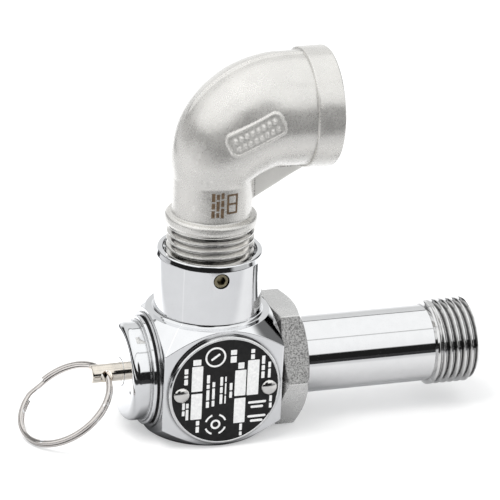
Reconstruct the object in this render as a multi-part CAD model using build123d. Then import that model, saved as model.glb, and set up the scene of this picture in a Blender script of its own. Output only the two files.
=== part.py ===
from build123d import *
import math
import os

os.makedirs("parts", exist_ok=True)

# Pressure relief valve, 1/2 inch, with lifting ring and street elbow outlet. Millimetres.
# +Z is up (the outlet neck), +X points out of the inlet thread, the name plate faces -Y.
# The origin is the centre of the body's flat base. The cap and stem lie towards -X.

# ---- general ----
FIT = 0.05               # radial clearance between mating parts
OVERCUT = 1.0            # how far a cutting tool runs past the surface it opens

# ---- body ----
BODY_W = 30.0            # square body, across flats
HALF_W = BODY_W / 2
AXIS_Z = HALF_W          # height of the valve axis above the base
BODY_FACE_R = HALF_W     # turned end faces
BODY_CORNER_DROP = 5.4   # how far the turned cone comes down at the corners
NECK_R = 13.0
NECK_TOP = 45.85
NECK_FILLET = 0.95
NECK_RIM_R = 1.1         # rounding of the neck's rim
NECK_BORE_R = 10.62      # receives the elbow's male thread
NECK_BORE_Z = 34.9
NECK_MOUTH_R = 11.3
FLOW_BORE_R = 9.0
CHAMBER_R = 10.0
CHAMBER_X0 = -9.2
CHAMBER_X1 = 8.2

# ---- pipe thread, 1/2 inch, 14 threads per inch ----
PITCH = 1.814
THREAD_CREST = 0.36      # axial width of the crest flat
THREAD_ROOT = 0.30       # axial width of the root flat
THREAD_R = 10.478
THREAD_MINOR_R = 9.316

# ---- bonnet, gasket and cap ----
BONNET_FLANGE_R = 14.0
BONNET_FLANGE_T = 0.6
BONNET_FLANGE_X = -HALF_W - BONNET_FLANGE_T
BONNET_SPIGOT_R = 11.45
BONNET_COLLAR_R = 10.25
BONNET_INNER_X = -9.4
BONNET_LIP_R = 6.9
GROOVE_X0 = -14.4        # O-ring groove in the spigot
GROOVE_X1 = -12.2
GROOVE_R = 10.75
CAP_GASKET_R = 12.8
CAP_GASKET_T = 0.4
CAP_SEAT_X = BONNET_FLANGE_X - CAP_GASKET_T
CAP_FLANGE_R = 13.3
CAP_FLANGE_T = 0.9
CAP_STEP_R = 12.5
CAP_STEP_X = -17.3
CAP_R = 12.0
CAP_FACE_X = -21.4
CAP_INSIDE_X = -19.9
CAP_EDGE_R = 3.0
SEAL_HOLE_R = 0.45
SEAL_HOLE_DEPTH = 0.9
SEAL_HOLE_Y = -8.5
SEAL_HOLE_Z = AXIS_Z - 1.8

# ---- stem, bush and pull ring ----
STEM_R = 2.22
STEM_TIP_X = -28.84
STEM_SHOULDER_X = -1.5
STEM_NECK_R = 1.55
STEM_END_X = 9.2
STEM_HOLE_R = STEM_NECK_R + 0.03     # hole through the parts carried on the stem's neck
BUSH_R = 3.40
BUSH_SHOULDER_R = 4.3
BUSH_POCKET_R = 3.35
BUSH_POCKET_X = -20.1
CROSS_HOLE_X = -25.40
CROSS_HOLE_R = 1.6
CROSS_HOLE_TILT = 6.3    # degrees from the Y axis, about the stem axis
RING_MEAN_R = 12.02
RING_AXIAL = 1.7
RING_RADIAL = 1.2
RING_CORNER = 0.22       # chamfer of the section's corners
RING_GROOVE_W = 0.20     # V groove round the inner and outer faces
RING_GROOVE_D = 0.12
RING_DIR = (-0.798, -0.0567, -0.600)     # from the cross hole to the ring centre, before RING_SWING
RING_TANGENT = (-0.152, 0.982, 0.109)    # the wire's direction inside the hole
RING_SWING = 2.1         # degrees about the tangent, so that the ring rests on the base plane

# ---- adjusting screw, lock ring, washer and spring ----
ADJ_X0 = -16.6
ADJ_X1 = -12.9
ADJ_R = 7.55
ADJ_EDGE = 0.4           # chamfer
LOCK_X0 = -18.1
LOCK_BORE_R = 4.6
WASHER_FLANGE_T = 0.8
WASHER_BORE_R = 2.5
SPRING_MEAN_R = 4.9
SPRING_WIRE_R = 0.7
SPRING_TURNS = 4.75
SPRING_GAP = 0.03        # between each end of the spring and its seat

# ---- disc group ----
DISC_FLANGE_X = 0.6
DISC_BACK_X = 2.8        # where the seat disc bears on its holder
DISC_WASHER_T = 0.8
NUT_AF = 5.5
NUT_T = 2.4

# ---- inlet nozzle ----
NOZZLE_GASKET_T = 0.35
HEX_AF = 28.8
HEX_X0 = HALF_W + NOZZLE_GASKET_T
HEX_X1 = 22.2
TUBE_R = 9.48
TUBE_X1 = 56.5
INLET_X = 68.5
INLET_BORE_R = 6.0
INLET_CROWNS = 5         # number of thread crests
NOZZLE_SPIGOT_R = 10.2
NOZZLE_STEP_X = 8.4
NOZZLE_SEAT_R = 7.1
SEAT_X = 5.4

# ---- name plate ----
PLATE_R = 14.0
PLATE_RECESS_R = 13.3
PLATE_T = 1.3
PLATE_FACE_Y = -HALF_W - PLATE_T
PLATE_RECESS_Y = PLATE_FACE_Y + 0.12
PLATE_SCREW_X = 11.0
PLATE_SCREW_R = 0.75
PLATE_SCREW_HEAD_R = 1.95
PLATE_SCREW_RIM = 0.25   # straight edge of the head
PLATE_SCREW_DOME = 0.85

# ---- outlet elbow and grub screw ----
ELBOW_AXIS_Z = 80.0
ELBOW_THREAD_R = 10.55
ELBOW_THREAD_Z0 = 36.0
ELBOW_CROWNS = 8         # number of thread crests
ELBOW_COLLAR_Z0 = 52.3
ELBOW_COLLAR_Z1 = 55.1
ELBOW_COLLAR_R = 11.1
ELBOW_LEG_R = 9.55
ELBOW_LEG_BORE_R = 7.0
ELBOW_EXIT_BORE_R = 9.0
BEND_R = 16.0
BEND_Z0 = ELBOW_AXIS_Z - BEND_R
SOCKET_R = 13.7
BAND_R = 14.5
BAND_X0 = 21.0
ELBOW_EXIT_X = 27.7
# section radii at equal angles round the bend, from the leg to the socket
BEND_OUTER = [ELBOW_LEG_R, 11.25, 12.45, 13.1, 13.5, SOCKET_R]
BEND_INNER = [ELBOW_LEG_BORE_R, 7.6, 8.1, 8.5, 8.8, ELBOW_EXIT_BORE_R]
# outline of the web in the throat of the bend: (x, z)
WEB_OUTLINE = [(5, 56.0), (9.6, 57.6), (22.6, 65.2), (22.6, 70.0), (14, 74), (5, 74)]
WEB_HALF_T = 1.0
GRUB_Z = 42.2
GRUB_X = -1.0
GRUB_HOLE_R = 1.9
GRUB_SOCKET_AF = 2.0
GRUB_SOCKET_DEPTH = 1.3


# ---------------------------------------------------------------------------
# helpers
# ---------------------------------------------------------------------------
def closed_face(points):
    return make_face(Polyline(*points, close=True))


def rev_x(points, z=AXIS_Z):
    """Turn a closed (x, radius) outline about the line along X at height z."""
    face = closed_face([(x, 0, r) for x, r in points])
    return Pos(0, 0, z) * revolve(face, axis=Axis.X, revolution_arc=360)


def rev_y(points, x=0.0):
    """Turn a closed (radius, y) outline about the line along Y at x on the valve axis."""
    face = closed_face([(x + r, y, AXIS_Z) for r, y in points])
    return revolve(face, axis=Axis((x, 0, AXIS_Z), (0, 1, 0)), revolution_arc=360)


def rev_z(points):
    """Turn a closed (radius, z) outline about the Z axis."""
    face = closed_face([(r, 0, z) for r, z in points])
    return revolve(face, axis=Axis.Z, revolution_arc=360)


def upright(radius, length):
    return Cylinder(radius, length, align=(Align.CENTER, Align.CENTER, Align.MIN))


def cyl_x(radius, x0, x1, y=0.0, z=AXIS_Z):
    return Pos(x0, y, z) * Rot(0, 90, 0) * upright(radius, x1 - x0)


def cyl_y(radius, y0, y1, x, z):
    return Pos(x, y0, z) * Rot(-90, 0, 0) * upright(radius, y1 - y0)


def cyl_z(radius, z0, z1):
    return Pos(0, 0, z0) * upright(radius, z1 - z0)


def hex_prism(across_flats, length):
    return extrude(RegularPolygon(across_flats / 2, 6, major_radius=False), length)


def ring_x(x, mean_r, section_r):
    """Round-section ring about the valve axis."""
    return Pos(x, 0, AXIS_Z) * Rot(0, 90, 0) * Torus(mean_r, section_r)


def arc_points(centre, radii, start, end, steps):
    """Points on an ellipse arc between two angles in degrees."""
    points = []
    for i in range(steps + 1):
        angle = math.radians(start + (end - start) * i / steps)
        points.append((centre[0] + radii[0] * math.cos(angle),
                       centre[1] + radii[1] * math.sin(angle)))
    return points


def thread_crests(start, count, crest_r):
    """(position, radius) outline points of annular crests, from start along +axis."""
    flank = (PITCH - THREAD_CREST - THREAD_ROOT) / 2
    points = []
    for i in range(count):
        p = start + i * PITCH
        points += [(p, THREAD_MINOR_R), (p + flank, crest_r),
                   (p + flank + THREAD_CREST, crest_r),
                   (p + 2 * flank + THREAD_CREST, THREAD_MINOR_R)]
    return points


def save(name, shape):
    solids = shape.solids()
    if len(solids) == 1:
        shape = solids[0]
    shape.label = name
    export_step(shape, f"parts/{name}.step")


# ---------------------------------------------------------------------------
# body
# ---------------------------------------------------------------------------
def valve_body():
    """Square block with turned ends, a round neck and crossing bores."""
    corner = HALF_W * math.sqrt(2)
    reach = corner + 0.1     # the turned outline ends just outside the block's corners
    drop = BODY_CORNER_DROP * (reach - BODY_FACE_R) / (corner - BODY_FACE_R)
    block = Pos(0, 0, AXIS_Z) * Box(BODY_W, BODY_W, BODY_W)
    body = block & rev_z([
        (0, 0), (BODY_FACE_R - 0.4, 0), (BODY_FACE_R, 0.25), (reach, drop),
        (reach, BODY_W - drop), (BODY_FACE_R, BODY_W), (0, BODY_W)])

    # neck with a concave root and a rounded rim, sunk into the block
    root_r = NECK_R + NECK_FILLET
    root = arc_points((root_r, BODY_W + NECK_FILLET), (NECK_FILLET, NECK_FILLET), 270, 180, 8)
    rim = arc_points((NECK_R - NECK_RIM_R, NECK_TOP - NECK_RIM_R),
                     (NECK_RIM_R, NECK_RIM_R), 0, 90, 6)
    body = body + rev_z([(0, 25.0), (root_r, 25.0)] + root + rim + [(0, NECK_TOP)])

    # outlet bore, its counterbore for the elbow's thread, and the mouth
    body = body - cyl_z(FLOW_BORE_R, AXIS_Z, NECK_BORE_Z + 0.1)
    body = body - rev_z([
        (0, NECK_BORE_Z), (NECK_BORE_R, NECK_BORE_Z), (NECK_BORE_R, NECK_TOP - 1.2),
        (NECK_MOUTH_R, NECK_TOP - 0.5), (NECK_MOUTH_R, NECK_TOP + OVERCUT),
        (0, NECK_TOP + OVERCUT)])
    # bonnet bore, discharge chamber and nozzle bore; the chamber overlaps both bores
    body = body - cyl_x(BONNET_SPIGOT_R + FIT, -HALF_W - OVERCUT, CHAMBER_X0)
    body = body - cyl_x(CHAMBER_R, CHAMBER_X0 - 0.1, CHAMBER_X1 + 0.1)
    body = body - cyl_x(NOZZLE_SPIGOT_R + FIT, CHAMBER_X1, HALF_W + OVERCUT)
    # name plate screw holes and the grub screw hole
    for side in (-1, 1):
        body = body - cyl_y(0.8, -HALF_W - OVERCUT, -HALF_W + 2.4, side * PLATE_SCREW_X, AXIS_Z)
    return body - cyl_y(GRUB_HOLE_R, -NECK_R - 1.5, -5.0, GRUB_X, GRUB_Z)


# ---------------------------------------------------------------------------
# bonnet and cap
# ---------------------------------------------------------------------------
def bonnet():
    """Fits the body, holds the adjusting screw and carries the cap."""
    return rev_x([
        (BONNET_INNER_X, BONNET_LIP_R), (BONNET_INNER_X, BONNET_SPIGOT_R - 0.4),
        (BONNET_INNER_X - 0.4, BONNET_SPIGOT_R), (GROOVE_X1, BONNET_SPIGOT_R),
        (GROOVE_X1, GROOVE_R), (GROOVE_X0, GROOVE_R), (GROOVE_X0, BONNET_SPIGOT_R),
        (-HALF_W, BONNET_SPIGOT_R), (-HALF_W, BONNET_FLANGE_R),
        (BONNET_FLANGE_X + 0.1, BONNET_FLANGE_R), (BONNET_FLANGE_X, BONNET_FLANGE_R - 0.15),
        (BONNET_FLANGE_X, BONNET_COLLAR_R), (-19.0, BONNET_COLLAR_R),
        (-19.3, BONNET_COLLAR_R - 0.3), (-19.3, 7.9), (-19.0, ADJ_R + FIT),
        (-11.4, ADJ_R + FIT), (-11.4, BONNET_LIP_R)])


def bonnet_o_ring():
    """O-ring in the bonnet spigot's groove."""
    inner_r = GROOVE_R + 0.03
    section_r = (BONNET_SPIGOT_R + 0.04 - inner_r) / 2
    return ring_x((GROOVE_X0 + GROOVE_X1) / 2, inner_r + section_r, section_r)


def cap_gasket():
    """Flat gasket between the bonnet flange and the cap flange."""
    bore_r = BONNET_COLLAR_R + 0.08
    return rev_x([(CAP_SEAT_X, bore_r), (CAP_SEAT_X, CAP_GASKET_R),
                  (BONNET_FLANGE_X, CAP_GASKET_R), (BONNET_FLANGE_X, bore_r)])


def cap():
    """Closes the bonnet and holds the stem's bush."""
    flange_x = CAP_SEAT_X - CAP_FLANGE_T
    bore_r = BONNET_COLLAR_R + FIT
    bush_hole_r = BUSH_R + FIT
    edge = arc_points((CAP_FACE_X + CAP_EDGE_R, CAP_R - CAP_EDGE_R),
                      (CAP_EDGE_R, CAP_EDGE_R), 90, 180, 8)
    shell = rev_x(
        [(CAP_SEAT_X, bore_r), (CAP_SEAT_X, CAP_FLANGE_R - 0.2),
         (CAP_SEAT_X - 0.2, CAP_FLANGE_R), (flange_x + 0.25, CAP_FLANGE_R),
         (flange_x, CAP_FLANGE_R - 0.25), (flange_x, CAP_STEP_R + 0.1),
         (flange_x - 0.1, CAP_STEP_R), (CAP_STEP_X + 0.1, CAP_STEP_R),
         (CAP_STEP_X, CAP_STEP_R - 0.1), (CAP_STEP_X - 0.1, CAP_R)]
        + edge
        + [(CAP_FACE_X, bush_hole_r), (CAP_INSIDE_X, bush_hole_r), (CAP_INSIDE_X, 9.4),
           (-19.5, bore_r)])
    # small seal hole near the edge of the face
    return shell - cyl_x(SEAL_HOLE_R, CAP_FACE_X - OVERCUT, CAP_FACE_X + SEAL_HOLE_DEPTH,
                         y=SEAL_HOLE_Y, z=SEAL_HOLE_Z)


def stem_bush():
    """Guide bush of the stem, pressed into the cap, with an O-ring pocket."""
    bore_r = STEM_R + 0.06
    return rev_x([
        (-21.5, bore_r), (-21.5, BUSH_R), (CAP_INSIDE_X, BUSH_R),
        (CAP_INSIDE_X, BUSH_SHOULDER_R), (-18.6, BUSH_SHOULDER_R), (-18.6, BUSH_POCKET_R),
        (BUSH_POCKET_X, BUSH_POCKET_R), (BUSH_POCKET_X, bore_r)])


def stem_o_ring():
    section_r = (BUSH_POCKET_R - STEM_R) / 2 - 0.02
    return ring_x(BUSH_POCKET_X + 0.02 + section_r, STEM_R + 0.01 + section_r, section_r)


# ---------------------------------------------------------------------------
# adjusting screw, lock ring, washer and spring
# ---------------------------------------------------------------------------
def adjusting_screw():
    """Chamfered disc with a slot along Z across its -X face."""
    bore_r = 2.6
    screw = rev_x([
        (ADJ_X0, bore_r), (ADJ_X0, ADJ_R - ADJ_EDGE), (ADJ_X0 + ADJ_EDGE, ADJ_R),
        (ADJ_X1 - ADJ_EDGE, ADJ_R), (ADJ_X1, ADJ_R - ADJ_EDGE), (ADJ_X1, bore_r)])
    return screw - Pos(ADJ_X0, 0, AXIS_Z) * Box(2.4, 1.6, 20.0)


def lock_ring():
    """Ring against the adjusting screw, with a slot along Y across its -X face."""
    ring = rev_x([
        (LOCK_X0, LOCK_BORE_R), (LOCK_X0, ADJ_R - ADJ_EDGE), (LOCK_X0 + ADJ_EDGE, ADJ_R),
        (ADJ_X0, ADJ_R), (ADJ_X0, LOCK_BORE_R)])
    return ring - Pos(LOCK_X0, 0, AXIS_Z) * Box(1.6, 20.0, 1.8)


def upper_spring_washer():
    """Flanged washer whose hub centres the spring."""
    flange_x, hub_x = ADJ_X1 + WASHER_FLANGE_T, ADJ_X1 + 2.0
    flange_r, hub_r = 6.4, 4.0
    return rev_x([
        (ADJ_X1, WASHER_BORE_R), (ADJ_X1, flange_r), (flange_x, flange_r),
        (flange_x, hub_r), (hub_x, hub_r), (hub_x, WASHER_BORE_R)])


def spring():
    """Set spring between the upper washer and the disc holder."""
    x0 = ADJ_X1 + WASHER_FLANGE_T + SPRING_GAP
    x1 = DISC_FLANGE_X - SPRING_GAP
    height = (x1 - x0) - 2 * SPRING_WIRE_R
    helix = Helix(pitch=height / SPRING_TURNS, height=height, radius=SPRING_MEAN_R)
    section = Plane(origin=helix @ 0, z_dir=helix % 0) * Circle(SPRING_WIRE_R)
    coil = sweep(section, path=helix, is_frenet=True)
    return Pos(x0 + SPRING_WIRE_R, 0, AXIS_Z) * Rot(0, 90, 0) * coil


# ---------------------------------------------------------------------------
# disc group, stem and pull ring
# ---------------------------------------------------------------------------
def disc_holder():
    hub_r, rim_r, pocket_r = 3.9, 8.3, 7.0
    return rev_x([
        (STEM_SHOULDER_X, STEM_HOLE_R), (STEM_SHOULDER_X, hub_r - 0.3),
        (STEM_SHOULDER_X + 0.3, hub_r), (DISC_FLANGE_X, hub_r), (DISC_FLANGE_X, rim_r - 0.3),
        (DISC_FLANGE_X + 0.3, rim_r), (5.0, rim_r), (5.0, pocket_r),
        (DISC_BACK_X, pocket_r), (DISC_BACK_X, STEM_HOLE_R)])


def flat_ring(x0, x1, outer_r):
    """Plain ring on the stem's neck."""
    return rev_x([(x0, STEM_HOLE_R), (x0, outer_r), (x1, outer_r), (x1, STEM_HOLE_R)])


def seat_disc():
    return flat_ring(DISC_BACK_X, SEAT_X, 6.93)


def disc_washer():
    return flat_ring(SEAT_X, SEAT_X + DISC_WASHER_T, 4.4)


def stem_nut():
    """Hexagon nut chamfered on its +X side."""
    x0 = SEAT_X + DISC_WASHER_T
    nut = Pos(x0, 0, AXIS_Z) * Rot(0, 90, 0) * hex_prism(NUT_AF, NUT_T)
    nut = nut & rev_x([(x0, 0), (x0, 3.3), (x0 + NUT_T - 0.4, 3.3), (x0 + NUT_T, 2.7),
                       (x0 + NUT_T, 0)])
    return nut - cyl_x(STEM_HOLE_R, x0 - OVERCUT, x0 + 4)


def lift_stem():
    """Stepped stem with a cross hole for the pull ring."""
    stem = rev_x([
        (STEM_TIP_X, 0), (STEM_TIP_X, STEM_R - 0.35), (STEM_TIP_X + 0.35, STEM_R),
        (STEM_SHOULDER_X, STEM_R), (STEM_SHOULDER_X, STEM_NECK_R),
        (STEM_END_X - 0.3, STEM_NECK_R), (STEM_END_X, STEM_NECK_R - 0.3), (STEM_END_X, 0)])
    drill = Rot(CROSS_HOLE_TILT, 0, 0) * Rot(90, 0, 0) * Cylinder(CROSS_HOLE_R, 10)
    return stem - Pos(CROSS_HOLE_X, 0, AXIS_Z) * drill


def pull_ring():
    """Split ring through the stem's cross hole."""
    outward = Vector(*RING_DIR).normalized()
    tangent = Vector(*RING_TANGENT)
    tangent = (tangent - outward * tangent.dot(outward)).normalized()
    swing = math.radians(RING_SWING)
    outward = (outward * math.cos(swing) + tangent.cross(outward) * math.sin(swing)).normalized()
    plane = Plane(origin=Vector(CROSS_HOLE_X, 0, AXIS_Z) + outward * RING_MEAN_R,
                  x_dir=outward, z_dir=tangent.cross(outward).normalized())

    # section as (radial, axial) offsets from the mean circle
    r, a, c = RING_RADIAL / 2, RING_AXIAL / 2, RING_CORNER
    g, d = RING_GROOVE_W / 2, RING_GROOVE_D
    section = [(-r, -a + c), (-r + c, -a), (r - c, -a), (r, -a + c),
               (r, -g), (r - d, 0), (r, g),
               (r, a - c), (r - c, a), (-r + c, a), (-r, a - c),
               (-r, g), (-r + d, 0), (-r, -g)]
    ring = rev_z([(RING_MEAN_R + radial, axial) for radial, axial in section])
    return plane.location * ring


# ---------------------------------------------------------------------------
# inlet nozzle and its gasket
# ---------------------------------------------------------------------------
def inlet_nozzle():
    """Hexagon, tube and pipe thread in one piece, with the valve seat at its inner end."""
    corner_r = HEX_AF / math.sqrt(3) + 0.05
    prism = Pos(HEX_X0, 0, AXIS_Z) * Rot(0, 90, 0) * Rot(0, 0, 90) * hex_prism(
        HEX_AF, HEX_X1 - HEX_X0)
    hexagon = prism & rev_x([
        (HEX_X0, 0), (HEX_X0, 14.0), (HEX_X0 + 0.9, corner_r), (HEX_X1 - 1.5, corner_r),
        (HEX_X1, 13.9), (HEX_X1, 0)])

    crests_x0 = TUBE_X1 + 1.75
    crests_x1 = crests_x0 + INLET_CROWNS * PITCH
    seat_end = [
        (SEAT_X, INLET_BORE_R), (SEAT_X, NOZZLE_SEAT_R - 0.35), (SEAT_X + 0.3, NOZZLE_SEAT_R),
        (NOZZLE_STEP_X, NOZZLE_SEAT_R), (NOZZLE_STEP_X, NOZZLE_SPIGOT_R - 0.4),
        (NOZZLE_STEP_X + 0.4, NOZZLE_SPIGOT_R), (HEX_X0 + 0.1, NOZZLE_SPIGOT_R),
        (HEX_X0 + 0.1, 12.0), (HEX_X1 - 0.1, 12.0), (HEX_X1 - 0.1, TUBE_R)]
    first_crest = [
        (TUBE_X1, TUBE_R), (TUBE_X1 + 0.4, THREAD_R), (TUBE_X1 + 1.1, THREAD_R),
        (TUBE_X1 + 1.6, THREAD_MINOR_R)]
    open_end = [
        (crests_x1, THREAD_MINOR_R), (crests_x1 + 0.36, THREAD_MINOR_R + 0.70),
        (crests_x1 + 0.56, THREAD_MINOR_R + 0.62), (INLET_X - 0.1, THREAD_MINOR_R - 0.25),
        (INLET_X, THREAD_MINOR_R - 0.40), (INLET_X, INLET_BORE_R + 0.8),
        (INLET_X - 0.8, INLET_BORE_R)]
    crests = thread_crests(crests_x0, INLET_CROWNS, THREAD_R)
    nozzle = hexagon + rev_x(seat_end + first_crest + crests + open_end)
    return nozzle - cyl_x(INLET_BORE_R, SEAT_X - OVERCUT, INLET_X + OVERCUT)


def nozzle_gasket():
    bore_r, outer_r = NOZZLE_SPIGOT_R + FIT, 13.7
    return rev_x([(HALF_W, bore_r), (HALF_W, outer_r), (HEX_X0, outer_r), (HEX_X0, bore_r)])


# ---------------------------------------------------------------------------
# name plate and its two drive screws
# ---------------------------------------------------------------------------
def nameplate():
    """Round plate with a shallow recess inside its rim."""
    plate = rev_y([
        (0, -HALF_W), (PLATE_R, -HALF_W), (PLATE_R, PLATE_FACE_Y + 0.35),
        (PLATE_R - 0.25, PLATE_FACE_Y), (PLATE_RECESS_R + 0.08, PLATE_FACE_Y),
        (PLATE_RECESS_R, PLATE_RECESS_Y), (0, PLATE_RECESS_Y)])
    for side in (-1, 1):
        plate = plate - cyl_y(0.85, -HALF_W - 3, -HALF_W + 1, side * PLATE_SCREW_X, AXIS_Z)
    return plate


def nameplate_screws():
    tip_y = -HALF_W + 2.2
    dome = arc_points((0, PLATE_RECESS_Y - PLATE_SCREW_RIM),
                      (PLATE_SCREW_HEAD_R, -PLATE_SCREW_DOME), 0, 90, 6)
    outline = [(0, tip_y), (PLATE_SCREW_R, tip_y), (PLATE_SCREW_R, PLATE_RECESS_Y),
               (PLATE_SCREW_HEAD_R, PLATE_RECESS_Y)] + dome
    # the outline is always turned from the +X side of each screw's axis
    screws = [rev_y(outline, side * PLATE_SCREW_X).solids()[0] for side in (-1, 1)]
    return Compound(children=screws)


# ---------------------------------------------------------------------------
# outlet elbow and the grub screw that locks its thread
# ---------------------------------------------------------------------------
def grub_screw():
    y0 = -math.sqrt((NECK_R - 0.25) ** 2 - GRUB_X ** 2)
    y1 = -(ELBOW_THREAD_R + 0.12)
    socket = Pos(GRUB_X, y0, GRUB_Z) * Rot(-90, 0, 0) * hex_prism(
        GRUB_SOCKET_AF, GRUB_SOCKET_DEPTH)
    return cyl_y(GRUB_HOLE_R - FIT, y0, y1, GRUB_X, GRUB_Z) - socket


def elbow_leg():
    """Upright leg: male thread, rounded collar and plain tube."""
    crests_z0 = ELBOW_THREAD_Z0 + 0.5
    crests_z1 = crests_z0 + ELBOW_CROWNS * PITCH
    crests = thread_crests(crests_z0, ELBOW_CROWNS, ELBOW_THREAD_R)
    return rev_z(
        [(0, ELBOW_THREAD_Z0), (THREAD_MINOR_R - 0.3, ELBOW_THREAD_Z0),
         (THREAD_MINOR_R, ELBOW_THREAD_Z0 + 0.4)]
        + [(r, z) for z, r in crests]
        + [(THREAD_MINOR_R + 0.1, crests_z1 + 0.1),
           (ELBOW_COLLAR_R - 0.6, ELBOW_COLLAR_Z0 - 0.9),
           (ELBOW_COLLAR_R - 0.1, ELBOW_COLLAR_Z0 - 0.2),
           (ELBOW_COLLAR_R, ELBOW_COLLAR_Z0 + 0.5), (ELBOW_COLLAR_R, ELBOW_COLLAR_Z1 - 1.3),
           (ELBOW_COLLAR_R - 0.3, ELBOW_COLLAR_Z1 - 0.5),
           (ELBOW_COLLAR_R - 0.9, ELBOW_COLLAR_Z1 + 0.1),
           (ELBOW_LEG_R + 0.1, ELBOW_COLLAR_Z1 + 0.5), (ELBOW_LEG_R, ELBOW_COLLAR_Z1 + 0.9),
           (ELBOW_LEG_R, BEND_Z0), (0, BEND_Z0)])


def bend(radii):
    """Quarter bend from +Z to +X, lofted through circles at equal angles."""
    sections = []
    for i, radius in enumerate(radii):
        angle = math.radians(90.0 * i / (len(radii) - 1))
        sin, cos = math.sin(angle), math.cos(angle)
        origin = (BEND_R - BEND_R * cos, 0, BEND_Z0 + BEND_R * sin)
        sections.append(Plane(origin=origin, x_dir=(0, 1, 0), z_dir=(sin, 0, cos))
                        * Circle(radius))
    return loft(sections)


def outlet_elbow():
    outer = elbow_leg() + bend(BEND_OUTER)
    # socket with a raised band at its mouth
    outer = outer + rev_x([
        (BEND_R, 0), (BEND_R, SOCKET_R), (BAND_X0 - 0.3, SOCKET_R), (BAND_X0 + 0.3, BAND_R),
        (ELBOW_EXIT_X - 0.5, BAND_R), (ELBOW_EXIT_X, BAND_R - 0.5), (ELBOW_EXIT_X, 0)],
        z=ELBOW_AXIS_Z)
    web = Plane.XZ * closed_face(WEB_OUTLINE)
    outer = outer + extrude(web, WEB_HALF_T, both=True)
    # raised pad on the -Y side of the bend
    pad = extrude(RectangleRounded(14.6, 6.0, 2.0), 13.0)
    outer = outer + Pos(6.1, 0, ELBOW_AXIS_Z - 1.2) * Rot(0, -27.5, 0) * Rot(90, 0, 0) * pad

    inner = cyl_z(ELBOW_LEG_BORE_R, ELBOW_THREAD_Z0 - OVERCUT, BEND_Z0) + bend(BEND_INNER)
    inner = inner + cyl_x(ELBOW_EXIT_BORE_R, BEND_R, ELBOW_EXIT_X - 10.0, z=ELBOW_AXIS_Z)
    # socket bore with a flared mouth
    bottom_x, mouth_r = ELBOW_EXIT_X - 12.0, THREAD_R + 0.3
    inner = inner + rev_x([
        (bottom_x, 0), (bottom_x, THREAD_MINOR_R), (ELBOW_EXIT_X - 1.2, THREAD_MINOR_R),
        (ELBOW_EXIT_X, mouth_r), (ELBOW_EXIT_X + OVERCUT, mouth_r),
        (ELBOW_EXIT_X + OVERCUT, 0)], z=ELBOW_AXIS_Z)
    return outer - inner


# each piece is saved under the name of the function that builds it
for piece in (valve_body, bonnet, bonnet_o_ring, cap_gasket, cap, stem_bush, stem_o_ring,
              adjusting_screw, lock_ring, upper_spring_washer, spring, disc_holder, seat_disc,
              disc_washer, stem_nut, lift_stem, pull_ring, inlet_nozzle, nozzle_gasket,
              nameplate, nameplate_screws, grub_screw, outlet_elbow):
    save(piece.__name__, piece())
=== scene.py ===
# A spring-loaded valve with a square body, a name plate, a pull ring and a cast outlet elbow.
# Lengths are millimetres in the CAD frame and are scaled to metres when a mesh is made.
# The stem and spring lie along X, AXIS_Z above the floor: cap and pull ring at -X, inlet nozzle
# at +X. The name plate faces the front, -Y. The neck and the elbow rise along +Z and the elbow
# opens towards +X.
import math
from types import SimpleNamespace

import bpy
import numpy as np
from mathutils import Matrix, Vector


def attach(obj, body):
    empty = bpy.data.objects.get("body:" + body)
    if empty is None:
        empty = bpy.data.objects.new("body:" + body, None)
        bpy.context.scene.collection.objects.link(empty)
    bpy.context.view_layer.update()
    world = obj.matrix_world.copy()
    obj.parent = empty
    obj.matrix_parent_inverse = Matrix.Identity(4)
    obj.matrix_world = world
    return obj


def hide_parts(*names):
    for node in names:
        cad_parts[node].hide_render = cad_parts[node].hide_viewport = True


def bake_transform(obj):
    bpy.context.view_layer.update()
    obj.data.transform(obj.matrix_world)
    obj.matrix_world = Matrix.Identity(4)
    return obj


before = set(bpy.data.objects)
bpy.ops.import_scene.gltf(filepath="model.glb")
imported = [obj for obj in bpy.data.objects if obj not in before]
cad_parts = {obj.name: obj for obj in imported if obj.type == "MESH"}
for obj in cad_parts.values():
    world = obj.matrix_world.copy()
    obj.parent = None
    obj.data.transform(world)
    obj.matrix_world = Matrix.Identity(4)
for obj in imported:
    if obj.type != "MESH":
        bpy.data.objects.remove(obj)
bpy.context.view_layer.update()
scene = bpy.context.scene

MM = 0.001
FULL_TURN = 2 * math.pi

HALF_BODY = 15.0                    # half the width of the square body
AXIS_Z = HALF_BODY                  # height of the stem's axis
AXIS = (0, 0, AXIS_Z)
NECK_RADIUS = 13.0
PLATE_SCREWS_X = (-11, 11)
GRUB_X, GRUB_Z = -1.0, 42.2         # grub screw in the front of the neck

PITCH = 1.814                       # pipe thread
THREAD_MAJOR, THREAD_MINOR = 10.478, 9.316

STEM_HOLE = np.array([-25.4, 0, AXIS_Z])
STEM_HOLE_TILT = math.radians(6.3)


# ---------------------------------------------------------------- mesh helpers
# A shell is a pair: vertices, and a list of (n, k) arrays of faces.

def outward(verts, faces):
    """Makes the faces of a closed shell point outwards, by the sign of its volume."""
    volume = 0.0
    for part in faces:
        for k in range(1, part.shape[1] - 1):
            a, b, c = verts[part[:, 0]], verts[part[:, k]], verts[part[:, k + 1]]
            volume += np.einsum("ij,ij->i", a, np.cross(b, c)).sum()
    return [part[:, ::-1] for part in faces] if volume < 0 else faces


def merge(shells):
    """Joins shells into one."""
    verts, faces, offset = [], [], 0
    for shell_verts, shell_faces in shells:
        verts.append(shell_verts)
        faces += [part + offset for part in shell_faces]
        offset += len(shell_verts)
    return np.vstack(verts), faces


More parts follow.
